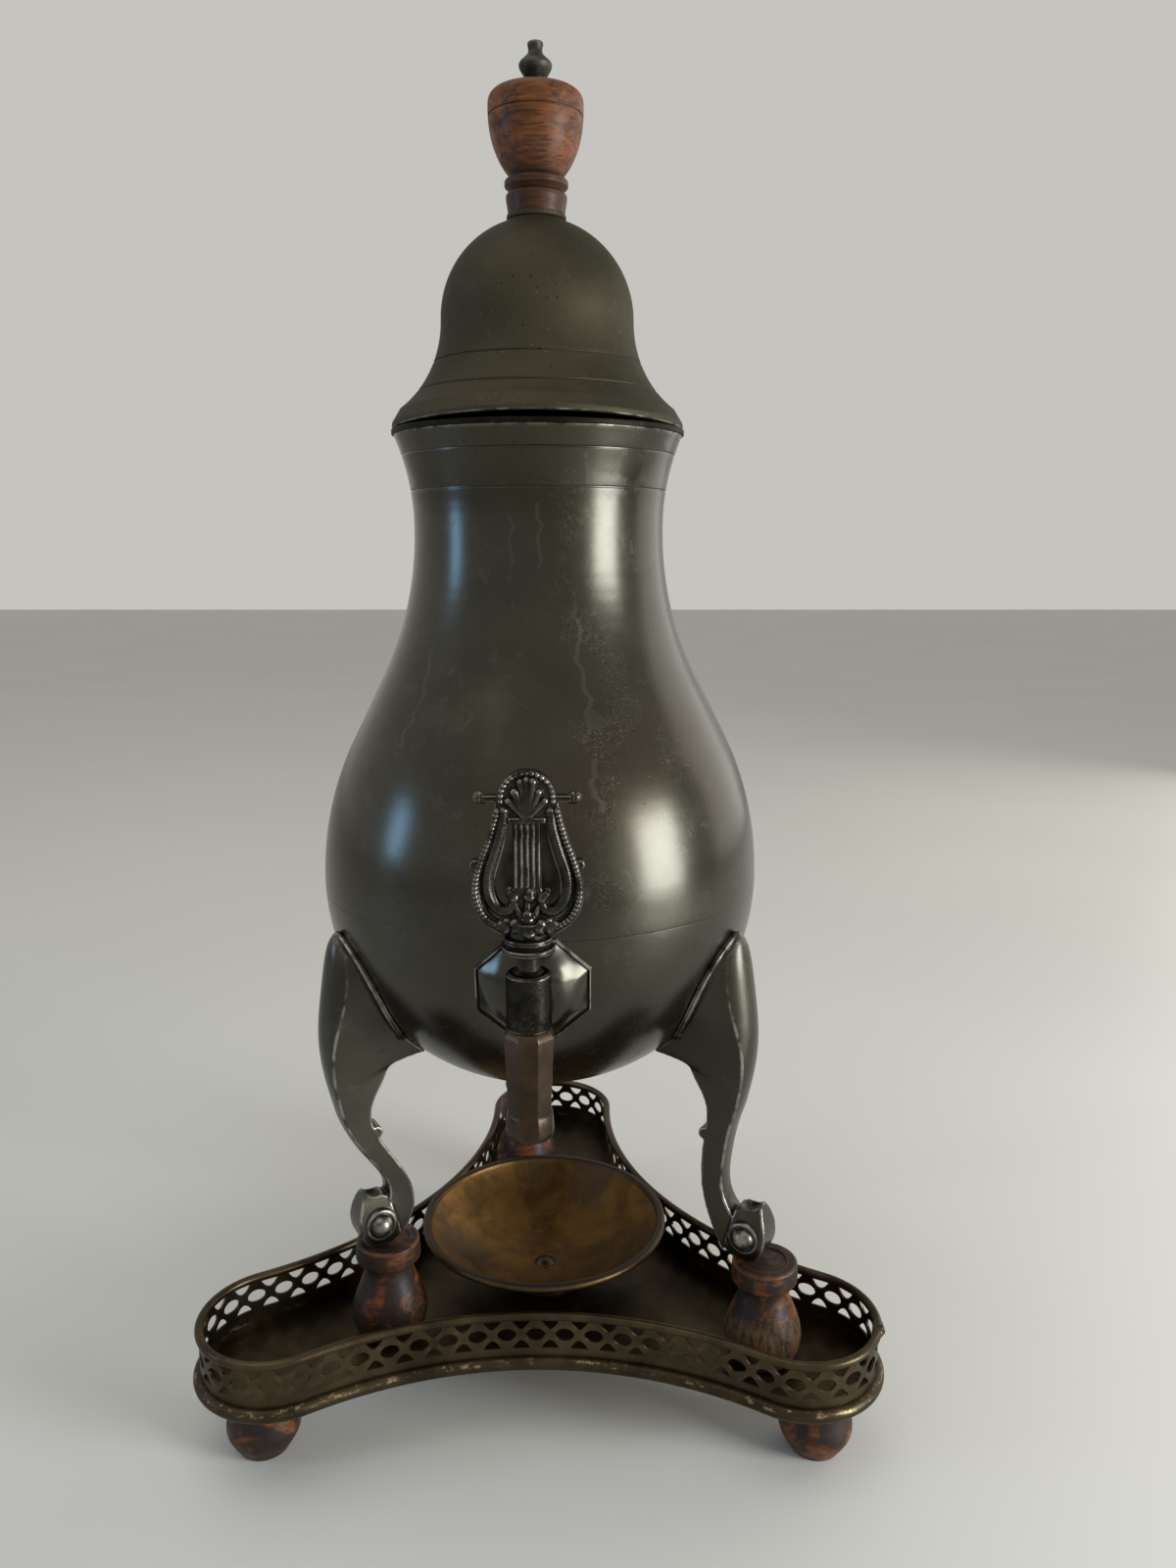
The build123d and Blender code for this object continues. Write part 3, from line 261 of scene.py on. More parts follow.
class Finish(Nodes):
    """A material in the making: its shader, its Object coordinates and its colour so far."""

    def __init__(self, name, metallic, specular_tint=1.0, coat=0.0, coat_roughness=0.25):
        self.material = bpy.data.materials.new(name)
        self.material.use_nodes = True
        super().__init__(self.material.node_tree)
        self.shader = self.tree.nodes["Principled BSDF"]
        self.shader.inputs["Metallic"].default_value = metallic
        self.shader.inputs["Specular Tint"].default_value = (specular_tint,) * 3 + (1.0,)
        self.shader.inputs["Coat Weight"].default_value = coat
        self.shader.inputs["Coat Roughness"].default_value = coat_roughness
        self.place = self.put("ShaderNodeTexCoord", output=3)
        self.palette = bpy.context.scene.urn_colours

    def grain(self, scale, detail=3.0, roughness=0.5, distortion=0.0, at=None):
        """The value of a Noise Texture."""
        inputs = {"Vector": at or self.place, "Scale": scale, "Detail": detail}
        return self.put("ShaderNodeTexNoise", inputs | {"Roughness": roughness, "Distortion": distortion})

    def dots(self, scale, wide, narrow):
        """Round dots in the middle of the cells of a Voronoi Texture."""
        inputs = {"Vector": self.place, "Scale": scale, "Randomness": 1.0}
        return self.spread(self.put("ShaderNodeTexVoronoi", inputs), wide, narrow)

    def stretched(self, scale, turn=(0, 0, 0), move=(0, 0, 0), at=None):
        """Coordinates turned, moved and stretched by a Mapping node."""
        inputs = {"Vector": at or self.place, "Location": move, "Rotation": turn, "Scale": scale}
        return self.put("ShaderNodeMapping", inputs)

    def attribute(self, name):
        return self.put("ShaderNodeAttribute", output=2, attribute_name=name)

    def start(self, mask, low, high):
        """Starts the colour: the low one where the mask is 0 and the high one where it is 1."""
        self.base = self.mixed(mask, low, high)

    def lay(self, mask, share, rgb, gain=1.0):
        """Lays a colour over the base where the mask is, as strongly as the share says."""
        self.base = self.mixed(self.times(mask, share), self.base, shade(rgb, gain))

    def edges(self):
        """Masks of worn convex edges and of hollows, which take grime and painted shade, from the piece's
        own edge attribute.
        """
        edge = self.attribute("edge")
        worn = self.times(self.spread(edge, 0.10, 0.45), self.spread(self.grain(160, 4), 0.36, 0.56))
        return worn, self.spread(edge, -0.08, -0.5)

    def scratches(self, turns, scale, width):
        """Fine lines: the level lines of long stretched noise, broken up by patches."""
        total = 0.0
        for turn in turns:
            fibre = self.grain(1.0, 2.0, at=self.stretched((scale, scale * 0.05, scale), turn))
            line = self.spread(self.calc("ABSOLUTE", self.minus(fibre, 0.5)), width, 0)
            gate = self.grain(1.0, 3.0, at=self.stretched((45, 45, 45), move=turn))
            total = self.calc("MAXIMUM", total, self.times(line, self.spread(gate, 0.54, 0.66)))
        return total

    def drips(self):
        """Thin wavering runs down the urn."""
        x, y, z = self.parts(self.place)
        turn = self.calc("ARCTAN2", x, self.times(y, -1))
        waver = self.grain(62, 4, 0.55, at=self.vector(0.0, 0.0, z))
        turn = self.plus(turn, self.times(self.minus(waver, 0.5), 0.34))
        total = 0.0
        for angle, half, bottom, top in URN_DRIPS:
            run = self.spread(self.calc("ABSOLUTE", self.minus(turn, angle)), half, half * 0.5)
            run = self.times(run, self.spread(z, top, top - 6 * mm))
            run = self.times(run, self.spread(z, bottom, bottom + 3 * mm))
            total = self.calc("MAXIMUM", total, run)
        return self.times(total, self.spread(self.grain(150), 0.34, 0.5))

    def done(self, roughness, height, distance, strength):
        """Joins colour, roughness and bump to the shader, and returns the material."""
        bump = self.put("ShaderNodeBump", {"Height": height, "Distance": distance, "Strength": strength})
        for key, socket in (("Base Color", self.base), ("Roughness", roughness), ("Normal", bump)):
            self.tree.links.new(socket, self.shader.inputs[key])
        return self.material


def pewter_finish(
    name, gain=1.0, roughness=0.27, drip_share=1.0, gloss=0.45, rim=None, brown=1.0, spotted=0.0
):
    """Old pewter: olive patina with stains, drips, scratches, pits and worn edges.

    With a rim, a pair of heights, the edges are worn bright only past the second one.
    """
    made = Finish(name, 0.92, 0.75, gloss, 0.22)
    worn_metal = made.palette.pewter_worn
    tone = made.grain(26, 5, 0.6)
    cloud = made.grain(9, 3, 0.5, 0.6)
    low, high = [shade(made.palette.pewter, share * gain) for share in (0.82, 1.2)]
    made.start(made.spread(tone, 0.3, 0.7), low, high)
    made.lay(made.spread(cloud, 0.48, 0.72), brown, PEWTER_STAIN, gain)
    stain = made.times(made.spread(made.grain(75, 3, 0.45, 1.5), 0.63, 0.70), 0.6)
    marks = made.calc("MAXIMUM", stain, made.times(made.drips(), drip_share))
    made.lay(marks, 0.22, worn_metal, 0.35)
    lines = made.scratches(PEWTER_LINES, 620, 0.012)
    made.lay(lines, 0.3, worn_metal, 0.5)
    gate = made.spread(cloud, 0.56 - spotted, 0.66 - spotted)
    made.lay(made.times(made.dots(330, 0.10, 0.05), gate), 0.45, worn_metal, 0.8)
    gate = made.spread(tone, 0.53 - spotted / 2, 0.62 - spotted / 2)
    pit = made.times(made.dots(260, 0.15, 0.07), gate)
    made.lay(pit, 0.7, PEWTER_GRIME_AND_SHADE)
    worn, hollow = made.edges()
    if rim:
        worn = made.times(worn, made.spread(made.parts(made.place)[2], rim[0], rim[1], 0.1, 1.0))
    made.lay(worn, 0.85, worn_metal)
    # Hollows are darkened nearly to black: grime together with painted shade
    made.lay(hollow, 0.8, PEWTER_GRIME_AND_SHADE)
    rough = made.plus(made.times(tone, 0.14), roughness - 0.07)
    rough = made.plus(rough, made.times(marks, 0.12))
    rough = made.plus(rough, made.times(hollow, 0.3))
    height = made.plus(made.times(made.grain(60, 2), 0.35), made.times(made.grain(1400, 3), 0.03))
    height = made.minus(height, made.times(lines, 0.05))
    height = made.minus(height, made.times(pit, 0.12))
    return made.done(rough, height, 0.0006, 0.6)


def cast_finish(name, gain=1.0, roughness=0.13):
    """Dark cast metal of the tap, rough in its hollows and bright on its high points."""
    made = Finish(name, 0.85, 0.7 * gain)
    worn_metal = made.palette.pewter_worn
    tone = made.grain(120, 5, 0.65)
    made.start(made.spread(tone, 0.35, 0.65), shade(CAST_DARK, gain), shade(CAST_PALE, gain))
    worn, hollow = made.edges()
    made.lay(worn, 0.75, worn_metal, 0.8)
    # Hollows are darkened nearly to black: grime together with painted shade
    made.lay(hollow, 0.85, CAST_GRIME_AND_SHADE)
    made.lay(made.scratches(CAST_LINES, 900, 0.016), 0.4, worn_metal, 0.7)
    rough = made.plus(made.times(tone, 0.25), roughness)
    rough = made.plus(rough, made.times(hollow, 0.3))
    height = made.plus(tone, made.times(made.grain(1500, 2), 0.2))
    return made.done(rough, height, 0.0003, 0.7)


def brass_finish(name, patina, worn_share=0.8, roughness=0.34, gain=1.0, scuffs=None, lip=None):
    """Brass under a brown patina, with golden wear on its edges and in scuffed bands.

    The patina is the name of its colour. Scuffs are the middle and half width of a worn band, and a
    lip is the height of the dish's dark rim.
    """
    made = Finish(name, 0.85, 0.8)
    worn_metal = made.palette.brass_worn
    tone = made.grain(45, 6, 0.65, 0.4)
    tint = shade(getattr(made.palette, patina), gain)
    made.start(made.spread(tone, 0.32, 0.68), shade(tint, 0.62), shade(tint, 1.45))
    made.lay(made.spread(made.grain(130, 4, 0.6), 0.56, 0.70), 0.4, BRASS_BLOOM)
    worn, hollow = made.edges()
    worn = made.times(worn, worn_share)
    level = made.parts(made.place)[2]
    if scuffs:
        middle, half = scuffs
        away = made.calc("ABSOLUTE", made.minus(level, middle))
        ragged = made.grain(210, 5, 0.75, at=made.stretched((1, 1, 2.2)))
        band = made.times(made.spread(away, half, half * 0.3), made.spread(ragged, 0.53, 0.63))
        worn = made.calc("MAXIMUM", worn, band)
    made.lay(worn, 1.0, worn_metal)
    if lip:
        made.lay(made.spread(made.grain(28, 3, 0.55, 0.4), 0.5, 0.62), 0.6, DISH_CLOUD)
        made.lay(made.spread(made.grain(70, 5, 0.68, 0.8), 0.50, 0.66), 0.5, DISH_BLOTCH)
        made.lay(made.spread(level, lip - 1.2 * mm, lip - 0.4 * mm), 0.9, DISH_LIP)
        # Faces that look down are darkened: painted shade under the dish
        made.lay(made.attribute("under"), 0.85, DISH_UNDERSIDE_SHADE)
    # Hollows are darkened nearly to black: grime together with painted shade
    made.lay(hollow, 0.8, BRASS_GRIME_AND_SHADE)
    made.lay(made.scratches(BRASS_LINES, 700, 0.012), 0.3, worn_metal, 0.6)
    rough = made.plus(made.times(tone, 0.22), roughness - 0.10)
    height = made.plus(tone, made.times(made.grain(900, 3), 0.12))
    return made.done(rough, height, 0.0004, 0.6)


def wood_finish(name, axis_place, dark_share, dark_below=None, tan_below=None):
    """Turned, polished wood: fibres along X, turning marks, blackened patches and orange wear."""
    made = Finish(name, 0.0, 1.0, 0.05, 0.22)
    made.shader.inputs["Specular IOR Level"].default_value = 0.28
    wood = made.palette.wood
    local = made.stretched((1, 1, 1), move=[-c for c in axis_place])

    def along(scale, *settings):
        """Noise that is stretched along the wood's own axes."""
        return made.grain(1.0, *settings, at=made.stretched(scale, at=local))

    fibre = along((60, 420, 760), 5, 0.6, 0.8)
    figure = made.spread(along((26, 110, 170), 4, 0.55, 1.2), 0.32, 0.66)
    made.start(figure, shade(wood, 0.45), shade(wood, 1.6))
    made.lay(made.spread(made.grain(60, 4, 0.6, 0.3, local), 0.52, 0.66), 0.85, WOOD_GLOW)
    made.lay(made.spread(fibre, 0.52, 0.36), 0.8, wood, 0.2)
    patch = made.grain(95, 5, 0.62, 0.5, local)
    dark = made.spread(patch, 0.62 - 0.24 * dark_share, 0.74 - 0.24 * dark_share)
    made.lay(dark, 0.92, made.palette.wood_dark)
    level = made.parts(made.place)[2]
    if dark_below:
        made.lay(made.spread(level, dark_below, dark_below - 2 * mm), 0.8, wood, 0.2)
    if tan_below:
        upright = made.spread(along((500, 500, 55), 4, 0.6, 0.6), 0.34, 0.6)
        made.lay(made.times(made.spread(level, tan_below, tan_below - 6 * mm), upright), 0.8, WOOD_TAN)
    worn, hollow = made.edges()
    made.lay(worn, 0.4, WOOD_WORN)
    # Recesses are blackened: grime together with painted shade
    made.lay(hollow, 0.95, WOOD_GRIME_AND_SHADE)
    rough = made.plus(made.times(patch, 0.3), 0.36)
    height = made.plus(made.times(fibre, 0.6), made.times(along((25, 25, 1700), 2), 0.3))
    return made.done(rough, height, 0.00035, 0.7)


# Meshes


def polar(radius, azimuth, height=0.0):
    """The point at a radius, azimuth and height."""
    angle = math.radians(azimuth)
    return Vector((radius * math.cos(angle), radius * math.sin(angle), height))


def round_angles(sides):
    """Even steps round a circle."""
    return [math.tau * k / sides for k in range(sides)]


def show(name, data):
    """A new object in the scene that holds the mesh or curve."""
    made = bpy.data.objects.new(name, data)
    bpy.context.scene.collection.objects.link(made)
    return made


def make_object(name, points, faces):
    """A mesh object at the origin, with its normals outwards."""
    mesh = bpy.data.meshes.new(name)
    mesh.from_pydata([tuple(p) for p in points], [], faces)
    made = show(name, mesh)
    settle(made)
    return made


def welded(*meshes):
    """The meshes as one work mesh, with the doubles of their loose triangles merged."""
    work = bmesh.new()
    for mesh in meshes:
        work.from_mesh(mesh)
    bmesh.ops.remove_doubles(work, verts=work.verts, dist=CAD_WELD)
    return work


def settle(made, angle=35.0):
    """Merges doubles, turns normals outwards and smooths all but the sharp edges."""
    work = bmesh.new()
    work.from_mesh(made.data)
    bmesh.ops.remove_doubles(work, verts=work.verts, dist=NEW_WELD)
    bmesh.ops.recalc_face_normals(work, faces=work.faces)
    for face in work.faces:
        face.smooth = True
    for edge in work.edges:
        if len(edge.link_faces) == 2:
            edge.smooth = edge.calc_face_angle(0.0) < math.radians(angle)
    work.to_mesh(made.data)
    work.free()


def readings(items, key, width, kind=np.float32):
    """One property of all the items of a mesh, as rows of numbers."""
    values = np.zeros(len(items) * width, kind)
    items.foreach_get(key, values)
    return values.reshape(-1, width)


def write_attribute(mesh, name, values):
    """Writes one number for each point of a mesh."""
    layer = mesh.attributes.get(name) or mesh.attributes.new(name, "FLOAT", "POINT")
    layer.data.foreach_set("value", values.astype(np.float32))


def mark_edges(made, reach=0.8 * mm, rounds=2):
    """Writes how much each point stands out (+) or lies in a hollow (-) to the edge attribute."""
    mesh = made.data
    count = len(mesh.vertices)
    places = readings(mesh.vertices, "co", 3).astype(float)
    normals = readings(mesh.vertex_normals, "vector", 3).astype(float)
    first, second = readings(mesh.edges, "vertices", 2, np.int32).T

    def gathered(at_first, at_second):
        """What the edges bring to each point, added up."""
        return np.bincount(first, at_first, count) + np.bincount(second, at_second, count)

    along = places[second] - places[first]
    length = np.maximum((along**2).sum(1), 1e-12)
    bend_first = -2 * (normals[first] * along).sum(1) / length
    bend_second = 2 * (normals[second] * along).sum(1) / length
    weight = np.sqrt(length)
    share = np.maximum(gathered(weight, weight), 1e-12)
    value = np.clip(gathered(bend_first * weight, bend_second * weight) / share * reach, -1, 1)
    links = np.maximum(np.bincount(first, minlength=count) + np.bincount(second, minlength=count), 1)
    for _ in range(rounds):
        value = 0.5 * value + 0.5 * gathered(value[second], value[first]) / links
    write_attribute(mesh, "edge", value)


def mark_underside_shade(made):
    """Writes how far each point's normal faces down to the under attribute, which the dish's finish uses
    for painted shade.
    """
    upwards = readings(made.data.vertex_normals, "vector", 3)[:, 2]
    sharpness = 8
    write_attribute(made.data, "under", np.clip(-sharpness * upwards, 0, 1))


def paint(mesh, material):
    """Gives a mesh its one material."""
    mesh.materials.clear()
    mesh.materials.append(material)


def paint_node(node, material):
    """Gives a CAD piece its material and leaves its shape alone."""
    paint(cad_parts[node].data, material)


def dress(made, body, slot, material, *nodes):
    """Gives a finished piece its material and body, and hides the CAD nodes it stands for. The slot is not
    used.
    """
    paint(made.data, material)
    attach(made, body)
    if nodes:
        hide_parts(*nodes)


def plain_copy(source, name):
    """The evaluated shape of an object as a new plain mesh object; the source is removed."""
    graph = bpy.context.evaluated_depsgraph_get()
    graph.update()
    mesh = bpy.data.meshes.new_from_object(source.evaluated_get(graph))
    bpy.data.objects.remove(source)
    mesh.name = name
    return show(name, mesh)


def section_of(node, centre, azimuth=27.0):
    """The profile of a turned CAD piece: ordered points (radius, height) of its half section."""
    across = polar(1, azimuth)
    work = welded(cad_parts[node].data)
    cut = bmesh.ops.bisect_plane(
        work, geom=work.verts[:] + work.edges[:] + work.faces[:],
        plane_co=centre, plane_no=Vector((-across.y, across.x, 0)),
    )["geom_cut"]
    links = {}
    spots = {}
    for item in cut:
        if isinstance(item, bmesh.types.BMEdge):
            ends = [v.index for v in item.verts]
            spots.update({v.index: ((v.co - centre).dot(across), v.co.z) for v in item.verts})
            if min(spots[e][0] for e in ends) > -1e-6:
                links.setdefault(ends[0], []).append(ends[1])
                links.setdefault(ends[1], []).append(ends[0])
    work.free()
    chains = []
    left = set(links)
    while left:
        chain = []
        ahead = [min(left, key=lambda k: (len(links[k]), spots[k][0]))]
        while ahead:
            chain.append(ahead[0])
            left.discard(ahead[0])
            ahead = [k for k in links[chain[-1]] if k in left]
        chains.append(chain)
    longest = max(chains, key=len)
    closed = len(links[longest[0]]) == 2
    return [spots[k] for k in longest], closed


def rounded_profile(points, closed, step, edge_radius, corner=24.0):
    """Resamples a profile: smooth runs become curves, and corners get a small worn radius.

    A point where the profile turns by more than the corner angle, in degrees, is a corner.
    """
    track = []
    for radius, height in points:
        spot = Vector((radius, height, 0))
        if not track or (spot - track[-1]).length > PROFILE_WELD:
            track.append(spot)
    if closed and (track[0] - track[-1]).length < PROFILE_WELD:
        track.pop()
    count = len(track)

    def turn(i):
        before, here, after = track[i - 1], track[i], track[(i + 1) % count]
        return math.degrees((here - before).angle(after - here, 0))

    corners = [i for i in range(count) if (closed or 0 < i < count - 1) and turn(i) > corner]
    if closed:
        first = corners[0] if corners else 0
        stops = [c - first for c in corners or [0]] + [count]
        track = [track[(first + k) % count] for k in range(count + 1)]
    else:
        stops = [0] + corners + [count - 1]
    runs = [smooth_run(track[a : b + 1], step) for a, b in zip(stops, stops[1:])]
    last = len(runs) - 1
    cut = [trimmed(run, edge_radius, closed or i > 0, closed or i < last) for i, run in enumerate(runs)]
    result = []
    for i, run in enumerate(runs):
        result += cut[i]
        if closed or i < last:
            result += corner_bend(cut[i][-1], run[-1], cut[(i + 1) % len(runs)][0])
    return [(p.x, p.y) for p in result]


def smooth_run(spots, step):
    """Catmull-Rom points through a smooth run, about a step apart."""
    if len(spots) == 2:
        count = max(1, round((spots[1] - spots[0]).length / step))
        return [spots[0].lerp(spots[1], k / count) for k in range(count + 1)]
    padded = [spots[0] * 2 - spots[1]] + spots + [spots[-1] * 2 - spots[-2]]
    result = [spots[0]]
    for a, b, c, d in zip(padded, padded[1:], padded[2:], padded[3:]):
        length = (c - b).length
        count = max(1, round(length / step))
        start = (c - a) * (length / max((c - a).length, 1e-9))
        end = (d - b) * (length / max((d - b).length, 1e-9))
        for k in range(1, count + 1):
            t = k / count
            result.append(
                b * (2 * t**3 - 3 * t**2 + 1)
                + start * (t**3 - 2 * t**2 + t)
                + c * (3 * t**2 - 2 * t**3)
                + end * (t**3 - t**2)
            )
    return result


def trimmed(run, radius, head, tail):
    """A run shortened at its ends by the corner radius, or by a third of it where it is short."""
    travelled = [0.0]
    for a, b in zip(run, run[1:]):
        travelled.append(travelled[-1] + (b - a).length)
    cut = min(radius, travelled[-1] / 3)
    low = cut if head else 0.0
    high = travelled[-1] - cut if tail else travelled[-1]
    between = [p for p, s in zip(run, travelled) if low + 1e-6 < s < high - 1e-6]
    return [point_along(run, travelled, low)] + between + [point_along(run, travelled, high)]


def point_along(run, travelled, reach):
    """The point at a distance along a run."""
    for i in range(1, len(run)):
        if travelled[i] >= reach - 1e-12:
            span = max(travelled[i] - travelled[i - 1], 1e-12)
            return run[i - 1].lerp(run[i], (reach - travelled[i - 1]) / span)
    return run[-1]


def corner_bend(start, peak, end):
    """Points of the small bend that replaces a corner."""
    return [start.lerp(peak, t).lerp(peak.lerp(end, t), t) for t in (0.25, 0.5, 0.75)]


def turned_piece(name, node, outfit, step, corner, sides, warp=None, reach=0.8, centre=URN_AXIS):
    """A turned CAD piece made again with worn corners and a fine, even mesh, and dressed.

    Its outfit is its body, slot and material. Step, corner radius and reach of the edge marks are in
    mm. A warp moves each point by its own place.
    """
    points, closed = section_of(node, centre)
    profile = rounded_profile(points, closed, step * mm, corner * mm)
    points = []
    rings = []
    for radius, height in profile:
        pole = radius < PROFILE_WELD
        out = 0.0 if pole else radius
        angles = round_angles(1 if pole else sides)
        rings.append(range(len(points), len(points) + len(angles)))
        for a in angles:
            points.append(Vector((centre.x + out * math.cos(a), centre.y + out * math.sin(a), height)))
    if warp:
        points = [p + warp(p) for p in points]
    faces = []
    for low, high in zip(rings, rings[1:] + rings[:1] if closed else rings[1:]):
        for k in range(sides if max(len(low), len(high)) > 1 else 0):
            after = (k + 1) % sides
            if len(low) == 1:
                faces.append((low[0], high[after], high[k]))
            elif len(high) == 1:
                faces.append((low[k], low[after], high[0]))
            else:
                faces.append((low[k], low[after], high[after], high[k]))
    made = make_object(name, points, faces)
    mark_edges(made, reach * mm)
    dress(made, *outfit, node)
    return made


def ringed(name, points, sides, caps=()):
    """A form whose points lie in rings, one after another."""
    faces = list(caps)
    for start in range(0, len(points) - sides, sides):
        for k in range(sides):
            a, b = start + k, start + (k + 1) % sides
            faces.append((a, b, b + sides, a + sides))
    return make_object(name, points, faces)


def rod(name, start, end, start_radius, end_radius):
    """A round rod with ball ends, as wide at each end as asked."""
    along = (end - start).normalized()
    aside = along.orthogonal().normalized()
    third = along.cross(aside)
    length = (end - start).length
    down = [math.pi / 2 * (1 - k / 6) for k in range(7)]
    up = [math.pi / 2 * k / 6 for k in range(7)]
    rows = [(-start_radius * math.sin(a), start_radius * math.cos(a)) for a in down]
    rows += [(length + end_radius * math.sin(a), end_radius * math.cos(a)) for a in up]
    sides = 16
    points = [
        start + along * reach + aside * radius * math.cos(a) + third * radius * math.sin(a)
        for reach, radius in rows
        for a in round_angles(sides)
    ]
    return ringed(name, points, sides)


def eight_sided(name, rows, spot, sides):
    """A closed eight-sided form from rows of half width, roundness and height, placed by spot()."""
    points = []
    for half, roundness, height in rows:
        for angle in round_angles(sides):
            wrapped = (angle + math.pi / 8) % (math.pi / 4) - math.pi / 8
            flat = half / math.cos(wrapped)
            points.append(spot(flat * (1 - roundness) + half * 1.05 * roundness, angle, height))
    caps = tuple(range(sides)), tuple(range(len(points) - sides, len(points)))
    return ringed(name, points, sides, caps)


def casting(name, nodes, outfit, voxel, rounds, extras=(), reach=2.0):
    """CAD pieces and added details fused, with the soft edges of a casting, and dressed.

    The voxel size is in mm, and the reach of the edge marks in voxels.
    """
    work = welded(*[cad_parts[node].data for node in nodes], *[extra.data for extra in extras])
    mesh = bpy.data.meshes.new(name)
    work.to_mesh(mesh)
    work.free()
    rough = show(name, mesh)
    for extra in extras:
        bpy.data.objects.remove(extra)
    fuse = rough.modifiers.new("fuse", "REMESH")
    fuse.mode = "VOXEL"
    fuse.voxel_size = voxel * mm
    soften = rough.modifiers.new("soften", "SMOOTH")
    soften.factor = 0.5
    soften.iterations = rounds
    made = plain_copy(rough, name)
    settle(made, 180)
    mark_edges(made, reach * (voxel * mm))
    dress(made, *outfit, *nodes)


def line_through(name, points, closed=True):
    """A polyline as a curve object."""
    data = bpy.data.curves.new(name, "CURVE")
    data.dimensions = "3D"
    line = data.splines.new("POLY")
    line.points.add(len(points) - 1)
    for spot, point in zip(line.points, points):
        spot.co = (*point, 1)
    line.use_cyclic_u = closed
    return show(name, data)


def middle_of(node):
    """The point on the table under the middle of a node's box."""
    low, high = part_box(node)
    return Vector(((low.x + high.x) / 2, (low.y + high.y) / 2, 0))


def handmade(scale, depth, seed):
    """A warp that leaves a surface very slightly uneven, as hand work does."""
    shift = Vector((seed, seed * 1.7, -seed))

    def warp(p):
        out = Vector((p.x, p.y, 0))
        if out.length < 1e-5:
            return Vector((0, 0, 0))
        return out.normalized() * depth * noise.noise(p * scale + shift)

    return warp


# Geometry trees


def group_tree(name, sockets):
    """A geometry tree with named inputs: its short calls, and its inputs by name."""
    tree = bpy.data.node_groups.new(name, "GeometryNodeTree")
    for label, kind in [("Geometry", "Geometry"), *sockets]:
        tree.interface.new_socket(label, in_out="INPUT", socket_type=f"NodeSocket{kind}")
    tree.interface.new_socket("Geometry", in_out="OUTPUT", socket_type="NodeSocketGeometry")
    return Nodes(tree), tree.nodes.new("NodeGroupInput").outputs


def end_tree(made, shape, material):
    """Ends a geometry tree: its instances are made real and its material is set."""
    real = made.put("GeometryNodeRealizeInstances", {"Geometry": shape})
    last = made.put("GeometryNodeSetMaterial", {"Geometry": real, "Material": material})
    made.tree.links.new(last, made.tree.nodes.new("NodeGroupOutput").inputs[0])
    return made.tree


def grown(name, tree, settings):
    """What a geometry tree makes with these inputs, as a plain mesh."""
    host = make_object(f"{name}_host", [(0, 0, 0), (mm, 0, 0), (0, mm, 0)], [(0, 1, 2)])
    step = host.modifiers.new(tree.name, "NODES")
    step.node_group = tree
    for item in tree.interface.items_tree:
        if item.item_type == "SOCKET" and item.in_out == "INPUT" and item.name in settings:
            step[item.identifier] = settings[item.name]
    return plain_copy(host, name)


# Operators


class URN_OT_stage(bpy.types.Operator):
    """Lay the floor, hang the lamps and place the camera"""

    bl_idname = "urn.stage"
    bl_label = "Stage"

    def execute(self, context):
        scene = context.scene
        corners = [(x * FLOOR_HALF, y * FLOOR_HALF, 0) for x, y in ((-1, -1), (1, -1), (1, 1), (-1, 1))]
        floor = make_object("floor", corners, [(0, 1, 2, 3)])
        paint(floor.data, self.floor_paint())
        for lamp in LAMPS:
            self.hang_lamp(*lamp)
        self.make_world(scene)
        camera = show("camera", bpy.data.cameras.new("camera"))
        camera.data.lens = CAMERA_LENS
        camera.data.sensor_width = SENSOR_WIDTH
        camera.data.clip_start = 0.01
        camera.location = CAMERA_PLACE
        camera.rotation_euler = (math.radians(90 - CAMERA_DROP), 0, 0)
        scene.camera = camera
        scene.view_settings.view_transform = "Standard"
        return {"FINISHED"}

    def floor_paint(self):
        made = Finish("floor_paint", 0.0)
        pale = made.palette.floor
        tone = made.grain(3, 2)
        made.start(made.spread(tone, 0.3, 0.7), shade(pale, 0.98), shade(pale, 1.02))
        rough = made.plus(made.times(tone, 0.06), 0.42)
        return made.done(rough, made.grain(300, 2), 0.0001, 0.1)

    def hang_lamp(self, name, place, target, width, height, power, tint):
        lamp = bpy.data.lights.new(name, "AREA")
        lamp.shape = "RECTANGLE"
        lamp.size = width
        lamp.size_y = height
        lamp.energy = power
        lamp.color = tint
        made = show(name, lamp)
        made.location = place
        made.rotation_euler = (Vector(target) - Vector(place)).to_track_quat("-Z", "Y").to_euler()

    def make_world(self, scene):
        """A soft sky that looks paler than it shines."""
        scene.world = bpy.data.worlds.new("studio")
        scene.world.use_nodes = True
        made = Nodes(scene.world.node_tree)
        made.tree.nodes.clear()
        path = made.tree.nodes.new("ShaderNodeLightPath").outputs
        seen = made.calc("MAXIMUM", path["Is Camera Ray"], path["Is Glossy Ray"])
        seen = made.calc("MAXIMUM", seen, path["Is Transmission Ray"])
        sky = made.put("ShaderNodeBackground", {0: made.mixed(seen, SKY_LIGHT, SKY_SEEN), 1: 1.0})
        made.tree.links.new(sky, made.tree.nodes.new("ShaderNodeOutputWorld").inputs[0])


class URN_OT_body(bpy.types.Operator):
    """Build the two halves of the pewter body"""

    bl_idname = "urn.body"
    bl_label = "Body"

    def execute(self, context):
        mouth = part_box("body_upper")[1].z
        rim = (mouth - 2.2 * mm, mouth - 1.2 * mm)
        outfit = ("urn", "pewter", pewter_finish("old_pewter", rim=rim))
        uneven = handmade(22, 0.35 * mm, 3.1)
        for node, corner in (("body_lower", 0.12), ("body_upper", 0.28)):
            turned_piece(f"{node}_shell", node, outfit, 1.6, corner, 300, uneven, 1.8)
        return {"FINISHED"}


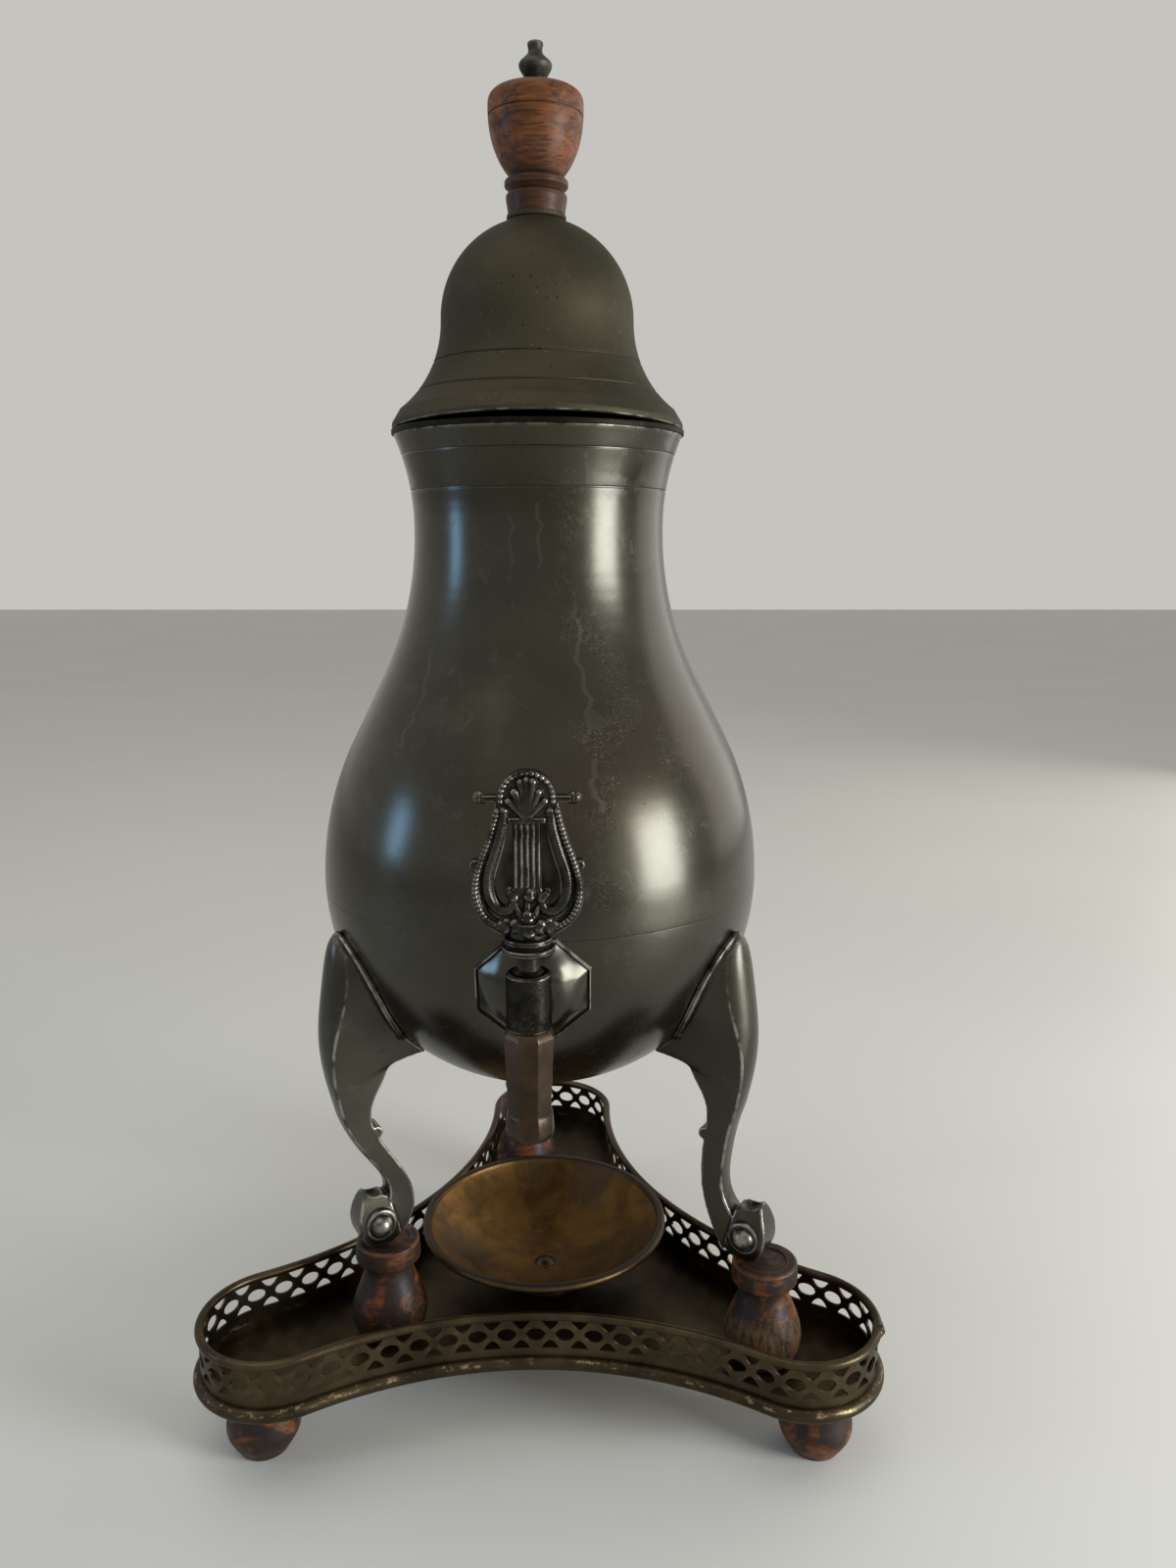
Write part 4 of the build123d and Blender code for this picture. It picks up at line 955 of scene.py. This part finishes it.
class URN_OT_lid(bpy.types.Operator):
    """Build the bell of the lid and its bezel"""

    bl_idname = "urn.lid"
    bl_label = "Lid"

    def execute(self, context):
        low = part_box("lid_dome")[0].z
        uneven = handmade(25, 0.25 * mm, 7.3)
        bend = 2.3 * mm
        bent_band = 14 * mm

        def lifted(p):
            """The rim stands a little higher at the front, where it has been bent up."""
            fore = max(0.0, -p.y / max(math.hypot(p.x, p.y), 1e-6)) ** 2
            near = max(0.0, 1 - (p.z - low) / bent_band)
            return uneven(p) + Vector((0, 0, bend * fore * near * near * (3 - 2 * near)))

        rim = (low + 6.0 * mm, low + 4.6 * mm)
        pewter = pewter_finish("lid_pewter", 1.4, 0.62, 0.0, 0.0, rim, brown=0.25, spotted=0.08)
        outfit = ("lid", "pewter", pewter)
        turned_piece("lid_dome_shell", "lid_dome", outfit, 1.0, 0.6, 260, lifted, 1.4)
        # The bezel is darkened to a quarter of the pewter, with almost no worn edges: painted shade in the
        # gap under the lid's rim
        above_all = (1.0, 2.0)
        dark = pewter_finish("bezel_pewter", 0.25, 0.5, 0.0, 0.0, above_all)
        turned_piece("lid_bezel_shell", "lid_bezel", ("lid", "pewter", dark), 1.2, 0.3, 260)
        return {"FINISHED"}


class URN_OT_knob(bpy.types.Operator):
    """Build the wooden knob, its finial and nut"""

    bl_idname = "urn.knob"
    bl_label = "Knob"

    def execute(self, context):
        low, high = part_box("lid_knob")
        wood = wood_finish("knob_wood", (0, 0, low.z), 0.12, dark_below=low.z + 14 * mm)
        uneven = handmade(60, 0.12 * mm, 1.2)
        shoulder = 8.3 * mm
        bore = 4 * mm

        def full_shoulder(p):
            """The cup's shoulder is rounder than a cone and its top flatter."""
            radius = math.hypot(p.x, p.y)
            depth = (high.z - p.z) / shoulder
            if radius < bore or depth >= 1:
                return uneven(p)
            wide = high.x * math.sqrt(max(0.0, 1 - (1 - depth) ** 4.5))
            return uneven(p) + Vector((p.x, p.y, 0)) * max(0.0, wide / radius - 1)

        turned_piece("knob_turning", "lid_knob", ("lid", "wood", wood), 0.5, 0.3, 160, full_shoulder)
        metal = cast_finish("finial_metal", 1.25, 0.36)
        outfit = ("lid", "tap_metal", metal)
        turned_piece("finial_turning", "finial", outfit, 0.4, 0.2, 96, handmade(160, 0.15 * mm, 4.0))
        paint_node("finial_nut", metal)
        return {"FINISHED"}


class URN_OT_feet(bpy.types.Operator):
    """Build the turned wooden feet of the urn and of the tray"""

    bl_idname = "urn.feet"
    bl_label = "Wooden feet"

    def execute(self, context):
        dark_shares = {"left": 0.95, "right": 0.85, "back": 0.75}
        for number, (side, share) in enumerate(dark_shares.items()):
            seed = 2.0 + number
            for kind, body in (("urn_foot", "urn"), ("tray_foot", "tray")):
                node = f"{kind}_{side}"
                place = middle_of(node)
                low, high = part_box(node)
                pale = low.z + 22 * mm if node == "urn_foot_right" else None
                spot = (place.x, place.y, 0.01 * number)
                outfit = (body, "wood", wood_finish(f"{node}_wood", spot, share, tan_below=pale))
                if kind == "urn_foot":
                    corner = 1.1
                    warp = self.shallow_socket(place, high.z, handmade(70, 0.3 * mm, seed))
                else:
                    corner = 0.6
                    warp = self.full_bellied(place, handmade(55, 0.7 * mm, seed))
                turned_piece(f"{node}_turning", node, outfit, 0.6, corner, 128, warp, 1.2, place)
        return {"FINISHED"}

    def shallow_socket(self, place, top, uneven):
        """A warp that fills the socket under the toe, as its filling of old glue does."""
        socket_radius = 8.7 * mm
        socket_depth = 3.3 * mm
        filled_share = 0.8

        def warp(p):
            away = math.hypot(p.x - place.x, p.y - place.y)
            if away > socket_radius or top - p.z > socket_depth:
                return uneven(p)
            return Vector((0, 0, filled_share * (top - p.z)))

        return warp

    def full_bellied(self, place, uneven):
        """A warp that fills out the lower half of a tray foot, which is worn lumpy."""
        belly = 9 * mm
        swelling = 1.3 * mm
        bore = 6 * mm

        def warp(p):
            away = Vector((p.x - place.x, p.y - place.y, 0))
            near = max(0.0, 1 - abs(p.z - belly) / belly)
            if away.length < bore or near == 0.0:
                return Vector((0, 0, 0))
            return away.normalized() * (swelling * near * near * (3 - 2 * near)) + uneven(p) * near

        return warp


class URN_OT_dish(bpy.types.Operator):
    """Build the brass dish, its pedestal and rivet"""

    bl_idname = "urn.dish"
    bl_label = "Dish"

    def execute(self, context):
        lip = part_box("dish_bowl")[1].z
        golden = brass_finish("dish_brass_old", "dish", 0.15, 0.42, lip=lip)
        brown = brass_finish("rivet_brass", "brass", 0.1)
        uneven = handmade(45, 0.2 * mm, 9.0)
        for node, brass, step, sides in (
            ("dish_bowl", golden, 1.0, 200),
            ("dish_pedestal", brown, 0.6, 96),
            ("dish_rivet", brown, 0.4, 96),
        ):
            outfit = ("tray", "dish_brass", brass)
            mark_underside_shade(turned_piece(f"{node}_turning", node, outfit, step, 0.25, sides, uneven))
        return {"FINISHED"}


class URN_OT_gallery(bpy.types.Operator):
    """Pierce the strip and bend it round the tray"""

    bl_idname = "urn.gallery"
    bl_label = "Gallery"

    def execute(self, context):
        sizes = context.scene.urn_tray
        low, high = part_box("gallery_strip")
        scuffs = (low.z + 3.4 * mm, 1.3 * mm)
        brass = brass_finish("gallery_brass", "brass", 0.9, scuffs=scuffs)
        bead = brass_finish("bead_brass", "brass", 0.3, 0.40, 0.72, scuffs)
        path = line_through("outline_path", self.outline(sizes))
        oval = line_through("oval_shape", self.oval(sizes))
        corner = line_through("corner_shape", self.corner_hole(sizes))
        settings = {
            "Outline": path,
            "Oval": oval,
            "Corner hole": corner,
            "Repeats": sizes.repeats,
            "Length": sum(s.calc_length() for s in path.data.splines),
            "Height": high.z - low.z,
            "Bottom": low.z,
            "Pattern drop": sizes.pattern_drop,
            "Thickness": sizes.strip_thickness,
        }
        strip = grown("gallery_pierced", self.strip_tree(brass), settings)
        for helper in (path, oval, corner):
            bpy.data.objects.remove(helper)
        settle(strip)
        bevel = strip.modifiers.new("worn cut edges", "BEVEL")
        bevel.width = 0.16 * mm
        bevel.segments = 2
        bevel.limit_method = "ANGLE"
        bevel.angle_limit = math.radians(50)
        strip = plain_copy(strip, "gallery_pierced")
        settle(strip, 40)
        mark_edges(strip, 0.25 * mm, 1)
        dress(strip, "tray", "tray_brass", brass, "gallery_strip")
        self.wire_joint(sizes, high.z, brass)
        for node in ("gallery_top_wire", "tray_plate", "tray_foot_screws"):
            paint_node(node, brass)
        paint_node("gallery_base_bead", bead)
        return {"FINISHED"}

    def wire_joint(self, sizes, top, brass):
        """The soldered lump where the ends of the top wire meet."""
        azimuth = -14.0
        turn = polar(sizes.lobe_radius - sizes.strip_thickness / 2, azimuth)
        joint = polar(sizes.lobe_distance, LOBE_AZIMUTHS["right"]) + turn + Vector((0, 0, top))
        along = Vector((-turn.y, turn.x, 0)).normalized() * 2.2 * mm
        sleeve = rod("wire_joint_sleeve", joint - along, joint + along, 2.1 * mm, 2.0 * mm)
        tip = joint + turn.normalized() * 1.2 * mm - along * 0.5
        lump = rod("wire_joint_lump", tip, tip + Vector((0, 0, 1.5 * mm)), 1.5 * mm, 1.0 * mm)
        casting("wire_joint", [], ("tray", "tray_brass", brass), 0.2, 4, [sleeve, lump])

    def outline(self, sizes):
        """The middle line of the strip: six tangent arcs."""
        squeeze = sizes.side_reach - sizes.lobe_radius
        side_centre = (sizes.lobe_distance**2 - squeeze**2) / (sizes.lobe_distance - 2 * squeeze)
        inset = sizes.strip_thickness / 2
        radius = sizes.lobe_radius - inset
        hollow_radius = side_centre - sizes.side_reach + inset
        points = []
        for azimuth in LOBE_AZIMUTHS.values():
            lobe = polar(sizes.lobe_distance, azimuth)
            following = polar(sizes.lobe_distance, azimuth + 120)
            before = polar(side_centre, azimuth - 60)
            after = polar(side_centre, azimuth + 60)
            points += self.arc(lobe, before - lobe, after - lobe, radius, True)
            points += self.arc(after, lobe - after, following - after, hollow_radius, False)
        return points

    def arc(self, centre, start, end, radius, leftwards, count=80):
        """Points of the arc that turns from one direction to another, without its last point."""
        first = math.atan2(start.y, start.x)
        sweep = (math.atan2(end.y, end.x) - first) % math.tau
        if not leftwards:
            sweep -= math.tau
        turns = [first + sweep * (k / count) for k in range(count)]
        return [centre + Vector((math.cos(turn), math.sin(turn), 0)) * radius for turn in turns]

    def oval(self, sizes):
        wide, high = sizes.oval_width / 2, sizes.oval_height / 2
        return [Vector((wide * math.cos(a), high * math.sin(a), 0)) for a in round_angles(28)]

    def corner_hole(self, sizes):
        """A three-cornered hole above the ovals' line, its hollow sides following the rings."""
        half = sizes.corner_width / 2
        top, low = sizes.corner_top, sizes.corner_low
        rise = top - low
        hollow = 0.22
        shares = [k / 9 for k in range(9)]
        points = [(-half + 2 * half * t, top) for t in shares]
        points += [(half * (1 - t), top - rise * (t + hollow * math.sin(math.pi * t))) for t in shares]
        points += [(-half * t, low + rise * (t - hollow * math.sin(math.pi * t))) for t in shares]
        return [Vector((x, y, 0)) for x, y in points]

    def strip_tree(self, material):
        """Lays the holes along a flat strip, fills and thickens it, and bends it round the outline."""
        objects = [(name, "Object") for name in ("Outline", "Oval", "Corner hole")]
        lengths = [(name, "Float") for name in ("Length", "Height", "Bottom", "Pattern drop", "Thickness")]
        made, given = group_tree("pierced strip", objects + [("Repeats", "Int")] + lengths)
        pitch = made.calc("DIVIDE", given["Length"], given["Repeats"])
        line_height = made.minus(given["Height"], given["Pattern drop"])

        def spaced(shape, shift, turn=0.0):
            """A shape repeated along the strip, turned over by a half turn."""
            spots = {
                "Count": given["Repeats"],
                "Start Location": made.vector(made.times(pitch, shift), line_height, 0.0),
                "Offset": made.vector(pitch, 0.0, 0.0),
            }
            row = {
                "Points": made.put("GeometryNodeMeshLine", spots),
                "Instance": made.put("GeometryNodeObjectInfo", {"Object": given[shape]}, output=4),
                "Rotation": (turn, 0, 0),
            }
            return made.put("GeometryNodeInstanceOnPoints", row)

        sheet = {"Width": given["Length"], "Height": given["Height"]}
        border = made.put("GeometryNodeCurvePrimitiveQuadrilateral", sheet)
        middle = made.vector(made.times(given["Length"], 0.5), made.times(given["Height"], 0.5), 0.0)
        border = made.put("GeometryNodeTransform", {"Geometry": border, "Translation": middle})
        border = made.put("GeometryNodeSubdivideCurve", {"Curve": border, "Cuts": 899})
        ovals, corners = spaced("Oval", 0.5), spaced("Corner hole", 1.0)
        flat = made.joined(border, ovals, corners, spaced("Corner hole", 1.0, math.pi))
        flat = made.put("GeometryNodeRealizeInstances", {"Geometry": flat})
        flat = made.put("GeometryNodeFillCurve", {"Curve": flat})
        walls = {"Mesh": flat, "Offset Scale": given["Thickness"], "Individual": False}
        thick = made.put("GeometryNodeExtrudeMesh", walls)
        under = made.put("GeometryNodeFlipFaces", {"Mesh": flat})
        both = {"Geometry": made.joined(thick, under), "Distance": 1e-6}
        solid = made.put("GeometryNodeMergeByDistance", both)
        along, upwards, through = made.parts(made.put("GeometryNodeInputPosition"))
        sample = made.tree.nodes.new("GeometryNodeSampleCurve")
        sample.mode = "FACTOR"
        sample.use_all_curves = True
        path = made.put("GeometryNodeObjectInfo", {"Object": given["Outline"]}, output=4)
        made.tree.links.new(path, sample.inputs["Curves"])
        share = made.calc("DIVIDE", along, given["Length"], clamp=True)
        made.tree.links.new(share, sample.inputs["Factor"])

        def combine(operation, inputs):
            return made.put("ShaderNodeVectorMath", inputs, operation=operation)

        sideways = combine("CROSS_PRODUCT", {0: sample.outputs["Tangent"], 1: (0, 0, 1)})
        depth = made.minus(through, made.times(given["Thickness"], 0.5))
        shift = combine("SCALE", {0: sideways, 3: depth})
        lift = made.vector(0.0, 0.0, made.plus(upwards, given["Bottom"]))
        spot = combine("ADD", {0: sample.outputs["Position"], 1: shift})
        spot = combine("ADD", {0: spot, 1: lift})
        bent = made.put("GeometryNodeSetPosition", {"Geometry": solid, "Position": spot})
        return end_tree(made, bent, material)


class URN_OT_legs(bpy.types.Operator):
    """Cast the three legs with soft edges"""

    bl_idname = "urn.legs"
    bl_label = "Legs"

    def execute(self, context):
        outfit = ("urn", "pewter", pewter_finish("leg_pewter", roughness=0.36, drip_share=0.0))
        for side in LOBE_AZIMUTHS:
            casting(f"leg_{side}_cast", [f"leg_{side}"], outfit, 0.4, 3, reach=4.0)
        return {"FINISHED"}


class URN_OT_rosette(bpy.types.Operator):
    """Build the faceted boss behind the tap"""

    bl_idname = "urn.rosette"
    bl_label = "Rosette"

    def execute(self, context):
        sizes = context.scene.urn_tap
        pewter = pewter_finish("rosette_pewter", roughness=0.19, drip_share=0.0)
        drop = sizes.rosette_drop / sizes.belly_radius
        outwards = Vector((0, -math.sqrt(1 - drop**2), -drop))
        across = Vector((1, 0, 0))
        upwards = outwards.cross(across)
        middle = Vector((0, 0, sizes.belly_height))
        half = sizes.rosette_width / 2
        seat = math.sqrt(sizes.belly_radius**2 - (half / math.cos(math.pi / 8)) ** 2)
        rim = sizes.rosette_rim
        swell_edge = 0.945
        rows = [(1.0, -rim), (1.0, rim * 0.35), (0.99, rim * 0.75), (0.97, rim * 0.85), (0.952, rim * 0.62)]
        for k in range(41):
            share = swell_edge * (1 - k / 40)
            climb = min(1.0, (swell_edge - share) / 0.6)
            swell = math.sin(math.pi / 2 * climb)
            rows.append((share, rim * 0.6 + swell * (sizes.rosette_rise + rim * 0.4)))
        rows = [
            (half * share, min(1.0, 4.5 * max(0.0, swell_edge - share)) ** 0.8, height)
            for share, height in rows
        ]

        def spot(reach, angle, height):
            aside = across * (reach * math.cos(angle)) + upwards * (reach * math.sin(angle))
            return middle + outwards * (seat + height) + aside

        boss = eight_sided("rosette_boss", rows, spot, 192)
        mark_edges(boss, 1.0 * mm, 1)
        dress(boss, "urn", "pewter", pewter, "rosette")
        return {"FINISHED"}


class URN_OT_tap(bpy.types.Operator):
    """Cast the barrel, spout, collar and lyre"""

    bl_idname = "urn.tap"
    bl_label = "Tap"

    def execute(self, context):
        reach = context.scene.urn_tap.tap_reach
        metal = cast_finish("tap_cast")
        dark_metal = cast_finish("barrel_cast", 0.55)
        bronze = brass_finish("spout_bronze_old", "bronze", 0.4)
        tree = self.bead_tree(metal)
        casting("tap_barrel_cast", ["tap_barrel"], ("urn", "tap_metal", dark_metal), 0.3, 3)
        dress(self.spout(reach), "urn", "spout_bronze", bronze, "spout")
        low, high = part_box("key_collar")
        centre = Vector((0, -reach, low.z + 1.5 * mm))
        ring = [polar(high.x - 0.8 * mm, 360 * k / 60) + centre for k in range(60)]
        beads = self.beads("collar_beads", tree, ring, 0.8 * mm, 34, closed=True)
        outfit = ("key", "tap_metal", metal)
        casting("key_collar_cast", ["key_collar"], outfit, 0.25, 2, [beads])
        casting("lyre_cast", ["lyre_handle"], outfit, 0.25, 2, self.lyre_details(reach, tree))
        paint_node("tap_plug", metal)
        return {"FINISHED"}

    def spout(self, reach):
        """Eight flats that taper, a step, a flare and a rounded end with its bore."""
        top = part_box("spout")[1].z
        rows = [(half * mm, roundness, top - drop * mm) for drop, half, roundness in SPOUT_ROWS]

        def spot(away, angle, height):
            return Vector((away * math.cos(angle), -reach + away * math.sin(angle), height))

        made = eight_sided("spout_turning", rows, spot, 128)
        mark_edges(made, 0.5 * mm, 1)
        return made

    def beads(self, name, tree, points, radius, count, closed=False):
        """A row of beads along a line, laid out by geometry nodes."""
        line = line_through(f"{name}_line", points, closed)
        made = grown(name, tree, {"Line": line, "Count": count, "Radius": radius})
        bpy.data.objects.remove(line)
        return made

    def bead_tree(self, metal):
        """Balls at even steps along a line."""
        sockets = [("Line", "Object"), ("Count", "Int"), ("Radius", "Float")]
        made, given = group_tree("bead row", sockets)
        line = made.put("GeometryNodeObjectInfo", {"Object": given["Line"]}, output=4)
        spots = made.put("GeometryNodeCurveToPoints", {"Curve": line, "Count": given["Count"]})
        ball = made.put("GeometryNodeMeshIcoSphere", {"Radius": given["Radius"], "Subdivisions": 3})
        row = made.put("GeometryNodeInstanceOnPoints", {"Points": spots, "Instance": ball})
        return end_tree(made, row, metal)

    def lyre_details(self, reach, tree):
        """Beaded edges, palmette, leaves and raised strings of the lyre."""
        low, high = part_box("lyre_handle")
        height = high.z - low.z
        front = LYRE_DEPTH
        details = []

        def at(x, share, depth):
            return Vector((x * mm, -reach - depth, low.z + share * height))

        def add_rod(name, start, end, start_radius, end_radius):
            details.append(rod(name, start, end, start_radius * mm, end_radius * mm))

        def add_beads(name, pairs, depth, radius, count):
            line = [at(x, share, depth) for x, share in pairs]
            details.append(self.beads(name, tree, line, radius * mm, count))

        arm, inner = smooth_pairs(LYRE_ARM), smooth_pairs(LYRE_INNER)
        arch = [math.radians(a) for a in range(-6, 187, 12)]
        arch = [(7.7 * math.cos(a), 0.833 + 7.7 * mm / height * math.sin(a)) for a in arch]
        for way in (-1, 1):
            for face in (-1, 1):
                edge = [(way * x, share) for x, share in arm]
                add_beads(f"arm_rope_{way}_{face}", edge, face * (front - 0.1 * mm), 0.98, 31)
                edge = [(way * x, share) for x, share in inner]
                add_beads(f"arm_ridge_{way}_{face}", edge, face * (front - 0.6 * mm), 1.5, 46)
            ball = at(way * 14.0, 0.835, 0)
            add_rod(f"ball_{way}", ball, ball + Vector((way * 0.2 * mm, 0, 0)), 2.1, 2.0)
            bud = at(way * 15.4, 0.425, 0)
            add_rod(f"bud_{way}", bud, bud + Vector((way * 0.6 * mm, 0, 0.9 * mm)), 1.7, 1.1)
        for face in (-1, 1):
            for x, share, depth, radius in LYRE_CURLS:
                spot = at(x, share, face * depth * mm)
                away = Vector((0.3 * x, 0, 1.2)) * mm
                add_rod(f"curl_{x}_{face}", spot, spot + away, radius, 0.7 * radius)
            add_beads(f"dome_rope_{face}", arch, face * (front - 0.1 * mm), 0.85, 17)
            for k in range(5):
                x = (k - 2) * 1.75
                foot, head = at(x, 0.31, face * front), at(x, 0.70, face * front)
                add_rod(f"string_{k}_{face}", foot, head, 0.45, 0.45)
            for k in range(7):
                lean = (k - 3) / 3
                share = 0.955 - 0.135 * abs(lean) ** 1.6 - 0.012 * (k % 2)
                start = at(lean * 1.2, 0.735, face * front)
                end = at(lean * 5.4, share, face * (front + 0.1 * mm))
                add_rod(f"palmette_{k}_{face}", start, end, 0.9, 1.15 + 0.2 * (k % 3 == 1))
            for k in range(5):
                lean = (k - 2) / 2
                start = at(lean * 1.5, 0.09, face * (front + 0.4 * mm))
                end = at(lean * 6.6, 0.27 - 0.16 * abs(lean), face * (front + 0.2 * mm))
                add_rod(f"leaf_{k}_{face}", start, end, 1.5, 0.7)
        return details


def smooth_pairs(pairs):
    """Points on a smooth line through pairs of coordinates."""
    stretch = 50
    run = smooth_run([Vector((x, share * stretch, 0)) for x, share in pairs], 0.5)
    return [(p.x, p.y / stretch) for p in run]


class URN_PT_pieces(bpy.types.Panel):
    """Lists the pieces in the sidebar"""

    bl_idname = "URN_PT_pieces"
    bl_label = "Tap urn"
    bl_space_type = "VIEW_3D"
    bl_region_type = "UI"
    bl_category = "Urn"

    def draw(self, context):
        for step in STEPS:
            self.layout.operator(step.bl_idname)


STEPS = (
    URN_OT_stage,
    URN_OT_body,
    URN_OT_lid,
    URN_OT_knob,
    URN_OT_feet,
    URN_OT_dish,
    URN_OT_gallery,
    URN_OT_legs,
    URN_OT_rosette,
    URN_OT_tap,
)
CLASSES = (UrnTraySizes, UrnTapSizes, UrnColours) + STEPS + (URN_PT_pieces,)


def register():
    for item in CLASSES:
        bpy.utils.register_class(item)
    bpy.types.Scene.urn_tray = PointerProperty(type=UrnTraySizes)
    bpy.types.Scene.urn_tap = PointerProperty(type=UrnTapSizes)
    bpy.types.Scene.urn_colours = PointerProperty(type=UrnColours)


def unregister():
    del bpy.types.Scene.urn_colours
    del bpy.types.Scene.urn_tap
    del bpy.types.Scene.urn_tray
    for item in reversed(CLASSES):
        bpy.utils.unregister_class(item)


def main():
    """Registers the add-on and runs the operators in order."""
    register()
    for step in STEPS:
        group, name = step.bl_idname.split(".")
        getattr(getattr(bpy.ops, group), name)()


if __name__ == "__main__":
    main()
